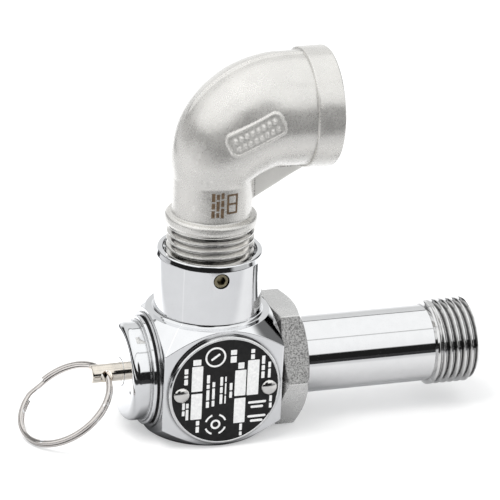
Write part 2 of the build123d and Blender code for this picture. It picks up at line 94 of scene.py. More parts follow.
def build(name, verts, faces, materials, slots=None, sharp=None, orient=True):
    """One smooth mesh object; slots holds a material index array for each face array."""
    verts = np.asarray(verts, np.float64)
    if orient:
        faces = outward(verts, faces)
    loops = np.concatenate([part.ravel() for part in faces])
    sizes = np.concatenate([np.full(len(part), part.shape[1]) for part in faces])
    starts = np.concatenate([[0], np.cumsum(sizes)[:-1]])
    mesh = bpy.data.meshes.new(name)
    mesh.vertices.add(len(verts))
    mesh.vertices.foreach_set("co", (verts * MM).astype(np.float32).ravel())
    mesh.loops.add(len(loops))
    mesh.loops.foreach_set("vertex_index", loops.astype(np.int32))
    mesh.polygons.add(len(sizes))
    mesh.polygons.foreach_set("loop_start", starts.astype(np.int32))
    mesh.update(calc_edges=True)
    mesh.validate()
    mesh.polygons.foreach_set("use_smooth", np.ones(len(mesh.polygons), bool))
    for material in materials:
        mesh.materials.append(material)
    if slots is not None:
        indices = np.concatenate([np.asarray(part, np.int32) for part in slots])
        # validate() may have dropped faces, and then the indices no longer line up
        if len(indices) == len(mesh.polygons):
            mesh.polygons.foreach_set("material_index", indices)
    if sharp is not None:
        mesh.set_sharp_from_angle(angle=math.radians(sharp))
    mesh.update()
    ob = bpy.data.objects.new(name, mesh)
    scene.collection.objects.link(ob)
    return ob


def cut(ob, shells, sharp=32):
    """Cuts closed shells out of an object and bakes the result."""
    verts, faces = merge([(v, outward(v, f)) for v, f in shells])
    tool = build("cutter_tmp", verts, faces, [], orient=False)
    modifier = ob.modifiers.new("cut", "BOOLEAN")
    modifier.operation = "DIFFERENCE"
    modifier.solver = "EXACT"
    modifier.object = tool
    bpy.context.view_layer.update()
    depsgraph = bpy.context.evaluated_depsgraph_get()
    mesh = bpy.data.meshes.new_from_object(ob.evaluated_get(depsgraph))
    ob.modifiers.clear()
    materials = list(ob.data.materials)
    indices = np.empty(len(mesh.polygons), np.int32)
    mesh.polygons.foreach_get("material_index", indices)
    ob.data = mesh
    mesh.materials.clear()
    for material in materials:
        mesh.materials.append(material)
    # faces left by the tool come with a slot of their own
    mesh.polygons.foreach_set("material_index", np.minimum(indices, len(materials) - 1))
    bpy.data.objects.remove(tool)
    mesh.polygons.foreach_set("use_smooth", np.ones(len(mesh.polygons), bool))
    mesh.set_sharp_from_angle(angle=math.radians(sharp))
    mesh.update()


def place(ob, body, *nodes, slot):
    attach(ob, body)
    if nodes:
        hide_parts(*nodes)


def unit(vector):
    vector = np.asarray(vector, float)
    return vector / np.linalg.norm(vector)


def smooth(t):
    return t * t * (3 - 2 * t)


def around(count):
    """Evenly spaced angles round a full turn."""
    return np.linspace(0, FULL_TURN, count, endpoint=False)


def grid(rows, columns, wrap_rows=False, wrap_columns=False):
    """Quads over vertices numbered row by row."""
    row = np.arange(rows if wrap_rows else rows - 1)[:, None]
    column = np.arange(columns if wrap_columns else columns - 1)[None]
    row2, column2 = (row + 1) % rows, (column + 1) % columns
    corners = ((row, column), (row2, column), (row2, column2), (row, column2))
    return np.stack([r * columns + c for r, c in corners], -1).reshape(-1, 4)


def rounded(stations, angles=None, closed=False, segments=5, lead=0.05):
    """Rounds the corners of an outline of (axial place, radius, rounding) stations.

    With angles given, places and radii may be arrays with one value per angle. The lead is a
    short straight step on both sides of a corner that keeps the shading tight.
    """
    outer_shape = () if angles is None else (len(angles),)
    count = len(stations)
    outline = np.empty(outer_shape + (count, 2))
    for i, (axial, radius, _) in enumerate(stations):
        outline[..., i, 0], outline[..., i, 1] = axial, radius
    points = []
    for i in range(count):
        rounding = stations[i][2]
        corner = outline[..., i, :]
        if rounding <= 0 or (not closed and i in (0, count - 1)):
            points.append(corner)
            continue
        back = outline[..., (i - 1) % count, :] - corner
        ahead = outline[..., (i + 1) % count, :] - corner
        back_length = np.maximum(np.linalg.norm(back, axis=-1, keepdims=True), 1e-9)
        ahead_length = np.maximum(np.linalg.norm(ahead, axis=-1, keepdims=True), 1e-9)
        back, ahead = back / back_length, ahead / ahead_length
        cosine = (back * ahead).sum(-1, keepdims=True)
        half = np.arccos(np.clip(cosine, -0.99999, 0.99999)) / 2
        # distance from the corner to the arc's ends, kept short of the middle of each side
        reach = np.minimum(rounding / np.tan(half), 0.46 * np.minimum(back_length, ahead_length))
        radius = np.maximum(reach * np.tan(half), 1e-9)
        bisector = back + ahead
        length = np.maximum(np.linalg.norm(bisector, axis=-1, keepdims=True), 1e-9)
        centre = corner + bisector / length * (radius / np.sin(half))
        start, end = corner + back * reach, corner + ahead * reach
        to_start, to_end = (start - centre) / radius, (end - centre) / radius
        sweep = math.pi - 2 * half
        sine = np.sin(sweep)
        bent = sine > 1e-3
        sine = np.where(bent, sine, 1.0)
        points.append(start + back * np.minimum(lead, 0.3 * (back_length - reach)))
        for s in np.linspace(0, 1, segments + 1):
            weight1 = np.where(bent, np.sin((1 - s) * sweep) / sine, 1 - s)
            weight2 = np.where(bent, np.sin(s * sweep) / sine, s)
            points.append(centre + radius * (weight1 * to_start + weight2 * to_end))
        points.append(end + ahead * np.minimum(lead, 0.3 * (ahead_length - reach)))
    return np.stack(points, axis=-2)


def turn(outline, angles, axis, centre=(0, 0, 0), closed=False):
    """Sweeps an outline of (axial place, radius), or one per angle, round an axis.

    An outline that isn't closed starts and ends on the axis.
    """
    angles = np.asarray(angles, float)
    outline = np.asarray(outline, float)
    if outline.ndim == 2:
        outline = np.broadcast_to(outline, (len(angles),) + outline.shape)
    rows, columns = outline.shape[:2]
    axial, radius = outline[..., 0], outline[..., 1]
    c, s = np.cos(angles)[:, None], np.sin(angles)[:, None]
    if axis == "x":
        verts = np.stack([axial, radius * c, radius * s], -1)
    elif axis == "z":
        verts = np.stack([radius * c, radius * s, axial], -1)
    else:
        verts = np.stack([radius * s, axial, radius * c], -1)
    verts = verts + np.asarray(centre, float)
    if closed:
        return verts.reshape(-1, 3), [grid(rows, columns, wrap_rows=True, wrap_columns=True)]
    first_pole, last_pole = verts[0, :1], verts[0, -1:]
    columns -= 2
    i = np.arange(rows)
    first = i * columns
    following = ((i + 1) % rows) * columns
    last = columns - 1
    first_fan = np.stack([np.full(rows, rows * columns), following, first], -1)
    last_fan = np.stack([np.full(rows, rows * columns + 1), first + last, following + last], -1)
    verts = np.vstack([verts[:, 1:-1].reshape(-1, 3), first_pole, last_pole])
    return verts, [grid(rows, columns, wrap_rows=True), first_fan, last_fan]


def lathe(name, stations, material, closed=True, sides=192, segments=5):
    """A piece turned round the valve's axis."""
    outline = rounded(stations, closed=closed, segments=segments)
    return build(name, *turn(outline, around(sides), "x", AXIS, closed), [material])


def rod(start, end, radius, sides):
    """A closed prism between two points, not along Z."""
    start, end = np.asarray(start, float), np.asarray(end, float)
    direction = unit(end - start)
    across = unit(np.cross(direction, (0, 0, 1)))
    up = np.cross(direction, across)
    angles = around(sides)
    ring = radius * (np.outer(np.cos(angles), across) + np.outer(np.sin(angles), up))
    verts = np.vstack([start + ring, end + ring, start[None], end[None]])
    i = np.arange(sides)
    j = (i + 1) % sides
    return verts, [np.stack([i, j, j + sides, i + sides], -1),
                   np.stack([np.full(sides, 2 * sides), j, i], -1),
                   np.stack([np.full(sides, 2 * sides + 1), i + sides, j + sides], -1)]


def rounded_rectangle(half_width, half_height, rounding, corner_points):
    points = []
    for x, y, start in ((1, 1, 0), (-1, 1, 90), (-1, -1, 180), (1, -1, 270)):
        for a in np.radians(np.linspace(start, start + 90, corner_points)):
            points.append((x * (half_width - rounding) + rounding * math.cos(a),
                           y * (half_height - rounding) + rounding * math.sin(a)))
    return np.array(points)


def corner_angles(count, sides, first, spread, extra):
    """Angles round a turn, with extra ones close to the corners of a polygon (in degrees)."""
    near = np.radians(np.linspace(-spread, spread, extra))
    corners = [math.radians(first + 360 / sides * k) + near for k in range(sides)]
    return np.unique(np.round(np.mod(np.concatenate([around(count)] + corners), FULL_TURN), 7))


def polygon_radius(angles, sides, flat, rounding, first_flat=0.0):
    """Radius of a regular polygon with rounded corners; flat is the distance to its sides."""
    half = math.pi / sides
    off_flat = np.abs(np.mod(angles - first_flat + half, 2 * half) - half)
    limit = math.atan((flat - rounding) * math.tan(half) / flat)
    arc_centre = (flat - rounding) / math.cos(half)
    off_corner = half - off_flat
    under_root = np.maximum(rounding ** 2 - (arc_centre * np.sin(off_corner)) ** 2, 0)
    arc = arc_centre * np.cos(off_corner) + np.sqrt(under_root)
    return np.where(off_flat > limit, arc, flat / np.cos(off_flat))


def thread_radius(axial, angles, start, major=THREAD_MAJOR, minor=THREAD_MINOR, flat=0.17):
    """Radius of a right-hand thread; flat is the share of the pitch levelled at root and crest."""
    phase = np.mod((axial - start) / PITCH - angles / FULL_TURN, 1.0)
    y = np.clip((np.abs(2 * phase - 1) - flat) / (1 - 2 * flat), 0, 1)
    y = 0.72 * y + 0.28 * y * y * (3 - 2 * y)
    return minor + (major - minor) * y


# ---------------------------------------------------------------- materials

class Nodes:
    """Short calls that add linked shader nodes to one tree."""

    def __init__(self, tree):
        self.tree = tree
        tree.nodes.clear()

    def new(self, kind, **settings):
        node = self.tree.nodes.new("ShaderNode" + kind)
        for key, value in settings.items():
            setattr(node, key, value)
        return node

    def put(self, socket, value):
        """Links a socket, or sets it to a number or an RGB tuple."""
        if isinstance(value, bpy.types.NodeSocket):
            self.tree.links.new(value, socket)
        else:
            socket.default_value = (*value, 1) if isinstance(value, tuple) else value

    def math(self, operation, first, second=None, clamp=False):
        node = self.new("Math", operation=operation, use_clamp=clamp)
        self.put(node.inputs[0], first)
        if second is not None:
            self.put(node.inputs[1], second)
        return node.outputs[0]

    def add(self, first, second):
        return self.math("ADD", first, second)

    def subtract(self, first, second, clamp=False):
        return self.math("SUBTRACT", first, second, clamp)

    def multiply(self, first, second):
        return self.math("MULTIPLY", first, second)

    def largest(self, first, second):
        return self.math("MAXIMUM", first, second)

    def ramp(self, value, span, to=(0, 1), interpolation="LINEAR"):
        """Maps the span of a value to another range."""
        node = self.new("MapRange", interpolation_type=interpolation)
        self.put(node.inputs[0], value)
        for socket, number in zip(list(node.inputs)[1:5], (*span, *to)):
            socket.default_value = number
        return node.outputs[0]

    def ease(self, value, span, to=(0, 1)):
        """A ramp with soft ends."""
        return self.ramp(value, span, to, interpolation="SMOOTHSTEP")

    def mix(self, factor, first, second, blend="MIX"):
        node = self.new("Mix", data_type="RGBA", blend_type=blend)
        self.put(node.inputs["Factor"], factor)
        self.put(node.inputs[6], first)
        self.put(node.inputs[7], second)
        return node.outputs[2]

    def split(self, vector):
        node = self.new("SeparateXYZ")
        self.put(node.inputs[0], vector)
        return [node.outputs[axis] for axis in "XYZ"]


class Material(Nodes):
    """A Principled material textured in object space, in metres."""

    def __init__(self, name):
        self.material = bpy.data.materials.new(name)
        self.material.use_nodes = True
        super().__init__(self.material.node_tree)
        output = self.new("OutputMaterial")
        self.shader = self.new("BsdfPrincipled")
        self.put(output.inputs[0], self.shader.outputs[0])
        self.object_place = self.new("TexCoord").outputs["Object"]

    def mapped(self, scale, rotation=(0, 0, 0)):
        node = self.new("Mapping")
        self.put(node.inputs["Vector"], self.object_place)
        node.inputs["Scale"].default_value = scale
        node.inputs["Rotation"].default_value = rotation
        return node.outputs[0]

    def noise(self, scale, detail=3, rough=0.6, vector=None):
        node = self.new("TexNoise")
        self.put(node.inputs["Vector"], vector or self.object_place)
        node.inputs["Scale"].default_value = scale
        node.inputs["Detail"].default_value = detail
        node.inputs["Roughness"].default_value = rough
        return node.outputs["Fac"]

    def voronoi(self, scale):
        node = self.new("TexVoronoi")
        self.put(node.inputs["Vector"], self.object_place)
        node.inputs["Scale"].default_value = scale
        return node.outputs["Distance"]

    def pointiness(self, span, to=(0, 1)):
        """Picks out edges, or hollows with a falling range."""
        return self.ease(self.new("NewGeometry").outputs["Pointiness"], span, to)

    def bump(self, height, strength, depth, normal=None):
        node = self.new("Bump")
        node.inputs["Strength"].default_value = strength
        node.inputs["Distance"].default_value = depth
        self.put(node.inputs["Height"], height)
        if normal is not None:
            self.put(node.inputs["Normal"], normal)
        return node.outputs[0]

    def painted_crease_shade(self, colour, reach, span, shade, amount=1.0):
        """Painted shade: darkens a colour in creases by ambient occlusion, where little light gets
        in.
        """
        node = self.new("AmbientOcclusion", samples=10)
        node.inputs["Distance"].default_value = reach * MM
        light = self.ease(node.outputs["AO"], span, to=(1.0 - (1.0 - shade) * amount, 1.0))
        return self.mix(1.0, colour, light, blend="MULTIPLY")

    def finish(self, colour, metal, rough, normal, spec=0.5):
        values = {"Base Color": colour, "Metallic": metal, "Roughness": rough,
                  "Normal": normal, "Specular IOR Level": spec}
        for key, value in values.items():
            self.put(self.shader.inputs[key], value)
        return self.material


def scaled(colour, factor):
    return tuple(min(1, channel * factor) for channel in colour)


def chrome(name, wave, base=(0.88, 0.885, 0.895), rough=(0.035, 0.09), shade=0.18, reach=1.1):
    """Polished plating: wipe marks in the gloss, slow waviness, brighter rubbed edges, painted
    shade in creases.
    """
    m = Material(name)
    smudge = m.noise(scale=260, detail=4)
    streak = m.noise(scale=1400, vector=m.mapped(scale=(1, 1, 0.25)))
    gloss = m.ease(m.multiply(smudge, streak), span=(0.12, 0.42), to=rough)
    colour = m.mix(m.ramp(smudge, span=(0.35, 0.65)), scaled(base, 0.965), base)
    colour = m.mix(m.pointiness(span=(0.53, 0.62)), colour, (0.97, 0.97, 0.975))
    # painted shade: ambient occlusion darkens the colour in creases
    colour = m.painted_crease_shade(colour, reach=reach, span=(0.40, 0.90), shade=shade)
    normal = m.bump(m.noise(scale=110, detail=2, rough=0.5), strength=wave, depth=0.00035)
    hairline = m.mapped(scale=(1, 1, 0.06), rotation=(0.3, 0.2, 0.4))
    normal = m.bump(m.noise(scale=5200, detail=2, vector=hairline), strength=0.05,
                    depth=0.000006, normal=normal)
    return m.finish(colour, metal=1.0, rough=gloss, normal=normal)


def turned(name, base, rough, pitch=0.09, axis="x", strength=0.22, tint=None, tint_share=0.3,
           wave=0.05, stain=0.90, painted_groove_shade=0.0):
    """Lathe-turned metal: fine tool rings across the axis, darker stains, rubbed edges, and
    painted shade in grooves where asked.
    """
    m = Material(name)
    stretch = {"x": (1, 0.02, 0.02), "y": (0.02, 1, 0.02), "z": (0.02, 0.02, 1)}[axis]
    rings = m.noise(scale=0.5 / (pitch * MM), rough=0.7, vector=m.mapped(scale=stretch))
    mottle = m.noise(scale=420, detail=4)
    gloss = m.ease(m.multiply(mottle, rings), span=(0.12, 0.45), to=rough)
    colour = m.mix(m.ramp(mottle, span=(0.38, 0.68)), scaled(base, stain), base)
    if tint is not None:
        share = m.ramp(m.noise(scale=2600), span=(0.5, 0.75), to=(0, tint_share))
        colour = m.mix(share, colour, tint)
    colour = m.mix(m.pointiness(span=(0.53, 0.62)), colour, scaled(base, 1.12))
    # painted shade: ambient occlusion darkens thread grooves and sockets
    if painted_groove_shade:
        colour = m.painted_crease_shade(colour, reach=1.0, span=(0.42, 0.86), shade=0.12, amount=painted_groove_shade)
    normal = m.bump(m.noise(scale=160, detail=2, rough=0.5), strength=wave, depth=0.0003)
    normal = m.bump(rings, strength=strength, depth=0.000012, normal=normal)
    return m.finish(colour, metal=1.0, rough=gloss, normal=normal)


def cast(name, base, rough, metal, grain=0.35, fine=1900, speck=0.35, speck_tone=0.80,
         speck_from=0.55, painted_crease_shade=0.5):
    """Bead-blasted casting: fine dimples, soft mottling, painted shade in hollows and creases."""
    m = Material(name)
    mottle = m.noise(scale=190, detail=4)
    fine_noise = m.noise(scale=fine, rough=0.65)
    dimples = m.voronoi(scale=fine * 1.1)
    gloss = m.ease(m.multiply(mottle, fine_noise), span=(0.14, 0.42), to=rough)
    colour = m.mix(m.ramp(mottle, span=(0.36, 0.66)), scaled(base, 0.93), base)
    specks = m.ramp(fine_noise, span=(speck_from, speck_from + 0.22), to=(0, speck))
    colour = m.mix(specks, colour, scaled(base, speck_tone))
    edge_wear_and_hollow_shade = 0.6                          # share of both the painted shade in hollows and the rubbed edges
    # painted shade: hollows picked out by pointiness are darkened
    hollows = m.pointiness(span=(0.40, 0.49), to=(1, 0))
    colour = m.mix(m.multiply(hollows, edge_wear_and_hollow_shade), colour, scaled(base, 0.55))
    edges = m.pointiness(span=(0.52, 0.60))
    colour = m.mix(m.multiply(edges, edge_wear_and_hollow_shade), colour, scaled(base, 1.15))
    # painted shade: ambient occlusion darkens creases
    colour = m.painted_crease_shade(colour, reach=0.6, span=(0.30, 0.78), shade=0.35, amount=painted_crease_shade)
    normal = m.bump(m.noise(scale=230, rough=0.5), strength=0.20, depth=0.00025)
    dimple_share = 0.6
    relief = m.add(m.multiply(dimples, dimple_share), fine_noise)
    normal = m.bump(relief, strength=grain, depth=0.00003, normal=normal)
    return m.finish(colour, metal=metal, rough=gloss, normal=normal)


def mottled(name, dark, light, span, coarse, fine, rough, strength, depth, metal=0.0, spec=0.5,
            coarse_rough=0.65, fine_detail=2, dust=None):
    """A dull surface: two tones in coarse patches, a fine grain and perhaps dust."""
    m = Material(name)
    patches = m.noise(scale=coarse, detail=4, rough=coarse_rough)
    grain = m.noise(scale=fine, detail=fine_detail)
    colour = m.mix(m.ramp(patches, span=span), dark, light)
    if dust is not None:
        colour = m.mix(m.ramp(grain, span=(0.66, 0.80), to=(0, 0.5)), colour, dust)
    return m.finish(colour, metal=metal, rough=m.ramp(patches, span=(0.3, 0.7), to=rough),
                    normal=m.bump(grain, strength=strength, depth=depth), spec=spec)


def rubber(name, base):
    return mottled(name, dark=base, light=tuple(channel * 1.7 + 0.006 for channel in base),
                   span=(0.35, 0.65), coarse=600, coarse_rough=0.6, fine=6000,
                   rough=(0.55, 0.75), strength=0.35, depth=0.00002, spec=0.4)


finish = SimpleNamespace(
    body=chrome("body_chrome", wave=0.06),
    cap=chrome("cap_chrome", wave=0.08),
    bonnet=turned("bonnet_nickel", base=(0.66, 0.66, 0.665), rough=(0.14, 0.26)),
    gasket=rubber("gasket_black", base=(0.02, 0.02, 0.021)),
    seal=rubber("seal_rubber", base=(0.018, 0.018, 0.018)),
    seat=rubber("seat_elastomer", base=(0.30, 0.07, 0.045)),
    brass=turned("brass_parts", base=(0.80, 0.63, 0.33), rough=(0.18, 0.34),
                 tint=(0.60, 0.42, 0.20)),
    bush=turned("bush_nickel", base=(0.84, 0.835, 0.825), rough=(0.06, 0.12), pitch=0.08),
    spring=turned("spring_steel", base=(0.62, 0.62, 0.63), rough=(0.20, 0.34), pitch=0.2),
    stem=turned("stem_nickel", base=(0.86, 0.80, 0.715), rough=(0.07, 0.16), pitch=0.10,
                tint=(0.70, 0.60, 0.47), strength=0.10, tint_share=0.35),
    ring=chrome("ring_steel", base=(0.76, 0.72, 0.69), rough=(0.04, 0.10), wave=0.05,
                shade=0.02, reach=0.7),
    tube=turned("nozzle_steel", base=(0.85, 0.85, 0.855), rough=(0.035, 0.085), pitch=0.07,
                strength=0.05, wave=0.02, stain=0.97),
    thread=turned("thread_steel", base=(0.82, 0.815, 0.81), rough=(0.07, 0.16), pitch=0.05,
                  strength=0.12, painted_groove_shade=1.0),
    hex_satin=cast("hex_satin", base=(0.74, 0.735, 0.725), rough=(0.20, 0.32), grain=0.30,
                   fine=2600, metal=0.75, speck=0.5, speck_tone=0.75),
    hex_rough=cast("hex_rough", base=(0.50, 0.495, 0.487), rough=(0.30, 0.50), grain=1.0,
                   fine=2500, metal=0.8, speck=1.0, speck_tone=0.30, speck_from=0.42),
    plate_rim=turned("plate_rim", base=(0.88, 0.88, 0.88), rough=(0.10, 0.2), pitch=0.08,
                     axis="y"),
    # black satin enamel with faint orange peel and dust
    enamel=mottled("plate_black", dark=(0.006, 0.006, 0.0065), light=(0.013, 0.0125, 0.0125),
                   span=(0.4, 0.7), coarse=900, fine=4200, fine_detail=3,
                   dust=(0.05, 0.049, 0.047), rough=(0.34, 0.50), strength=0.25,
                   depth=0.000015, spec=0.25),
    # bare etched metal of the plate's raised marks
    etched=mottled("plate_marks", dark=(0.80, 0.80, 0.80), light=(0.95, 0.95, 0.94),
                   span=(0.35, 0.7), coarse=1500, fine=7000, metal=0.35, rough=(0.42, 0.6),
                   strength=0.3, depth=0.00001),
    screw=turned("screw_steel", base=(0.84, 0.825, 0.80), rough=(0.08, 0.18), pitch=0.12,
                 axis="y", strength=0.12),
    elbow=cast("elbow_steel", base=(0.715, 0.702, 0.675), rough=(0.24, 0.38), metal=0.72,
               speck=0.25, speck_tone=0.85, painted_crease_shade=0.7),
    web=cast("elbow_web", base=(0.70, 0.69, 0.665), rough=(0.36, 0.50), metal=0.25, painted_crease_shade=0.6),
    pad=cast("elbow_pad", base=(0.68, 0.668, 0.642), rough=(0.30, 0.50), grain=1.0, fine=2300,
             metal=0.55, speck=0.8, speck_tone=0.55, speck_from=0.46, painted_crease_shade=1.0),
    # brown heat marking, uneven along its strokes
    laser=mottled("elbow_marking", dark=(0.075, 0.046, 0.024), light=(0.215, 0.145, 0.088),
                  span=(0.34, 0.68), coarse=1700, fine=6500, metal=0.45, rough=(0.45, 0.62),
                  strength=0.35, depth=0.00001),
    elbow_thread=turned("elbow_thread", base=(0.86, 0.845, 0.815), rough=(0.10, 0.20),
                        pitch=0.06, axis="z", strength=0.06, wave=0.02, painted_groove_shade=0.55),
    grub=turned("grub_brass", base=(0.34, 0.30, 0.20), rough=(0.20, 0.38), pitch=0.1, axis="y",
                tint=(0.20, 0.17, 0.11), painted_groove_shade=1.0),
)


# ---------------------------------------------------------------- valve body, bonnet and cap

def make_body():
    """Square block with chamfered corners, a round neck, the cross bore and small holes."""
    angles = corner_angles(count=240, sides=4, first=45, spread=1.5, extra=13)
    radius = polygon_radius(angles, sides=4, flat=HALF_BODY, rounding=0.45)
    chamfer = 5.4                       # how far the top and bottom fall back at the corners
    drop = chamfer / (HALF_BODY * math.sqrt(2) - HALF_BODY) * (radius - HALF_BODY)
    top = 2 * HALF_BODY
    outline = rounded([                 # height, radius, rounding
        (0, 0, 0), (0, 14.9, 0.30), (drop, radius, 0.28), (top - drop, radius, 0.28),
        (top, 14.95, 0.35), (top, NECK_RADIUS, 0.95), (44.5, NECK_RADIUS, 0.8),
        (45.85, 12.62, 0.45), (45.85, 11.45, 0.2), (45.2, 11.3, 0.15), (44.5, 10.62, 0.1),
        (34.9, 10.62, 0), (34.9, 9.0, 0), (17.0, 9.0, 0), (17.0, 0, 0),
    ], angles, segments=7, lead=0.06)
    body = build("valve_body_shell", *turn(outline, angles, "z"), [finish.body])
    cross_bore = [                      # x, radius
        (-17, 0), (-17, 11.5), (-9.2, 11.5), (-9.2, 10.0),
        (8.2, 10.0), (8.2, 10.25), (17, 10.25), (17, 0),
    ]
    tools = [turn(cross_bore, around(128), "x", AXIS)]
    for x in PLATE_SCREWS_X:
        tools.append(rod((x, -16, AXIS_Z), (x, -12.6, AXIS_Z), radius=0.8, sides=32))
    neck_front = -math.sqrt(NECK_RADIUS ** 2 - GRUB_X ** 2)
    tools.append(rod((GRUB_X, neck_front - 1.5, GRUB_Z), (GRUB_X, -10.0, GRUB_Z),
                     radius=1.95, sides=64))
    cut(body, tools)
    place(body, "valve", "valve_body", slot="body_chrome")


def make_bonnet():
    housing = lathe("bonnet_housing", [     # x, radius, rounding
        (-9.4, 6.9, 0.1), (-9.4, 11.05, 0.1), (-9.8, 11.45, 0.1), (-12.2, 11.45, 0.05),
        (-12.2, 10.75, 0.05), (-14.4, 10.75, 0.05), (-14.4, 11.45, 0.05), (-15, 11.45, 0),
        (-15, 14.0, 0.12), (-15.6, 14.0, 0.12), (-15.6, 10.25, 0.1), (-19.0, 10.25, 0.1),
        (-19.3, 9.95, 0.1), (-19.3, 7.9, 0.1), (-19.0, 7.6, 0.1), (-11.4, 7.6, 0.1),
        (-11.4, 6.9, 0.1),
    ], finish.bonnet, sides=224, segments=4)
    place(housing, "valve", "bonnet", slot="bonnet_nickel")


def make_cap():
    """The cap with its small round hole, and the gasket under it."""
    gasket = lathe("cap_gasket_ring", [     # x, radius, rounding
        (-16.0, 10.33, 0.08), (-16.0, 12.8, 0.14), (-15.6, 12.8, 0.14), (-15.6, 10.33, 0.08),
    ], finish.gasket)
    place(gasket, "valve", "cap_gasket", slot="gasket_black")
    cap = lathe("cap_shell", [
        (-16.0, 10.30, 0.08), (-16.0, 13.3, 0.22), (-16.9, 13.3, 0.26), (-16.9, 12.5, 0.08),
        (-17.3, 12.5, 0.14), (-17.3, 12.0, 0.10), (-21.4, 12.0, 3.0), (-21.4, 3.45, 0.07),
        (-19.9, 3.45, 0.1), (-19.9, 9.4, 0.2), (-19.5, 10.30, 0.2),
    ], finish.cap, sides=256, segments=10)
    hole_y, hole_z = -8.5, AXIS_Z - 1.8
    cut(cap, [rod((-22.5, hole_y, hole_z), (-20.5, hole_y, hole_z), radius=0.45, sides=32)])
    place(cap, "valve", "cap", slot="cap_chrome")


# ---------------------------------------------------------------- stem and pull ring

def make_stem():
    """Stem with the cross hole that carries the pull ring."""
    stem = lathe("lift_stem_pin", [         # x, radius, rounding
        (-28.84, 0, 0), (-28.84, 2.22, 0.35), (-1.5, 2.22, 0.05), (-1.5, 1.55, 0.05),
        (9.2, 1.55, 0.3), (9.2, 0, 0),
    ], finish.stem, closed=False, sides=160, segments=6)
    along = np.array([0, math.cos(STEM_HOLE_TILT), math.sin(STEM_HOLE_TILT)])
    cut(stem, [rod(STEM_HOLE - along * 4, STEM_HOLE + along * 4, radius=1.6, sides=72)])
    place(stem, "stem", "lift_stem", slot="stem_nickel")


def make_pull_ring():
    """Split ring: one flat wire wound two turns, with a step from one layer to the other."""
    ring_radius, layer = 12.02, 0.43        # layer: each turn's distance from the middle plane
    step_start, step_end = math.radians(93), math.radians(122)
    end_gap = math.radians(0.6)
    swing = math.radians(2.1)
    count = 420

    away = unit((-0.798, -0.0567, -0.600))  # from the stem's hole to the ring's centre
    tangent = np.array([-0.152, 0.982, 0.109])
    tangent = unit(tangent - away * tangent.dot(away))
    away = unit(away * math.cos(swing) + np.cross(tangent, away) * math.sin(swing))
    normal = unit(np.cross(tangent, away))
    centre = STEM_HOLE + ring_radius * away

    step = step_end - step_start
    travel = np.linspace(0, 2 * FULL_TURN - step - 2 * end_gap, count)
    angles = step_end + end_gap + travel
    t = np.clip((travel - (FULL_TURN - step)) / step, 0, 1)
    offset = -layer + 2 * layer * (t * t * t * (t * (6 * t - 15) + 10))
    radial = np.outer(np.cos(angles), -away) + np.outer(np.sin(angles), tangent)
    section = rounded_rectangle(half_width=0.60, half_height=0.415, rounding=0.30,
                                corner_points=6)
    m = len(section)
    verts = (centre + (ring_radius + section[None, :, 0, None]) * radial[:, None, :]
             + (offset[:, None, None] + section[None, :, 1, None]) * normal).reshape(-1, 3)
    pole = len(verts)
    last = (count - 1) * m
    verts = np.vstack([verts, verts[:m].mean(0)[None], verts[-m:].mean(0)[None]])
    j = np.arange(m)
    following = (j + 1) % m
    start_cap = np.stack([j, following, np.full(m, pole)], -1)
    end_cap = np.stack([np.full(m, pole + 1), last + following, last + j], -1)
    faces = [grid(count, m, wrap_columns=True), start_cap, end_cap]
    ring = build("pull_ring_coil", verts, faces, [finish.ring], sharp=50)
    place(ring, "ring", "pull_ring", slot="ring_steel")


# ---------------------------------------------------------------- inlet nozzle

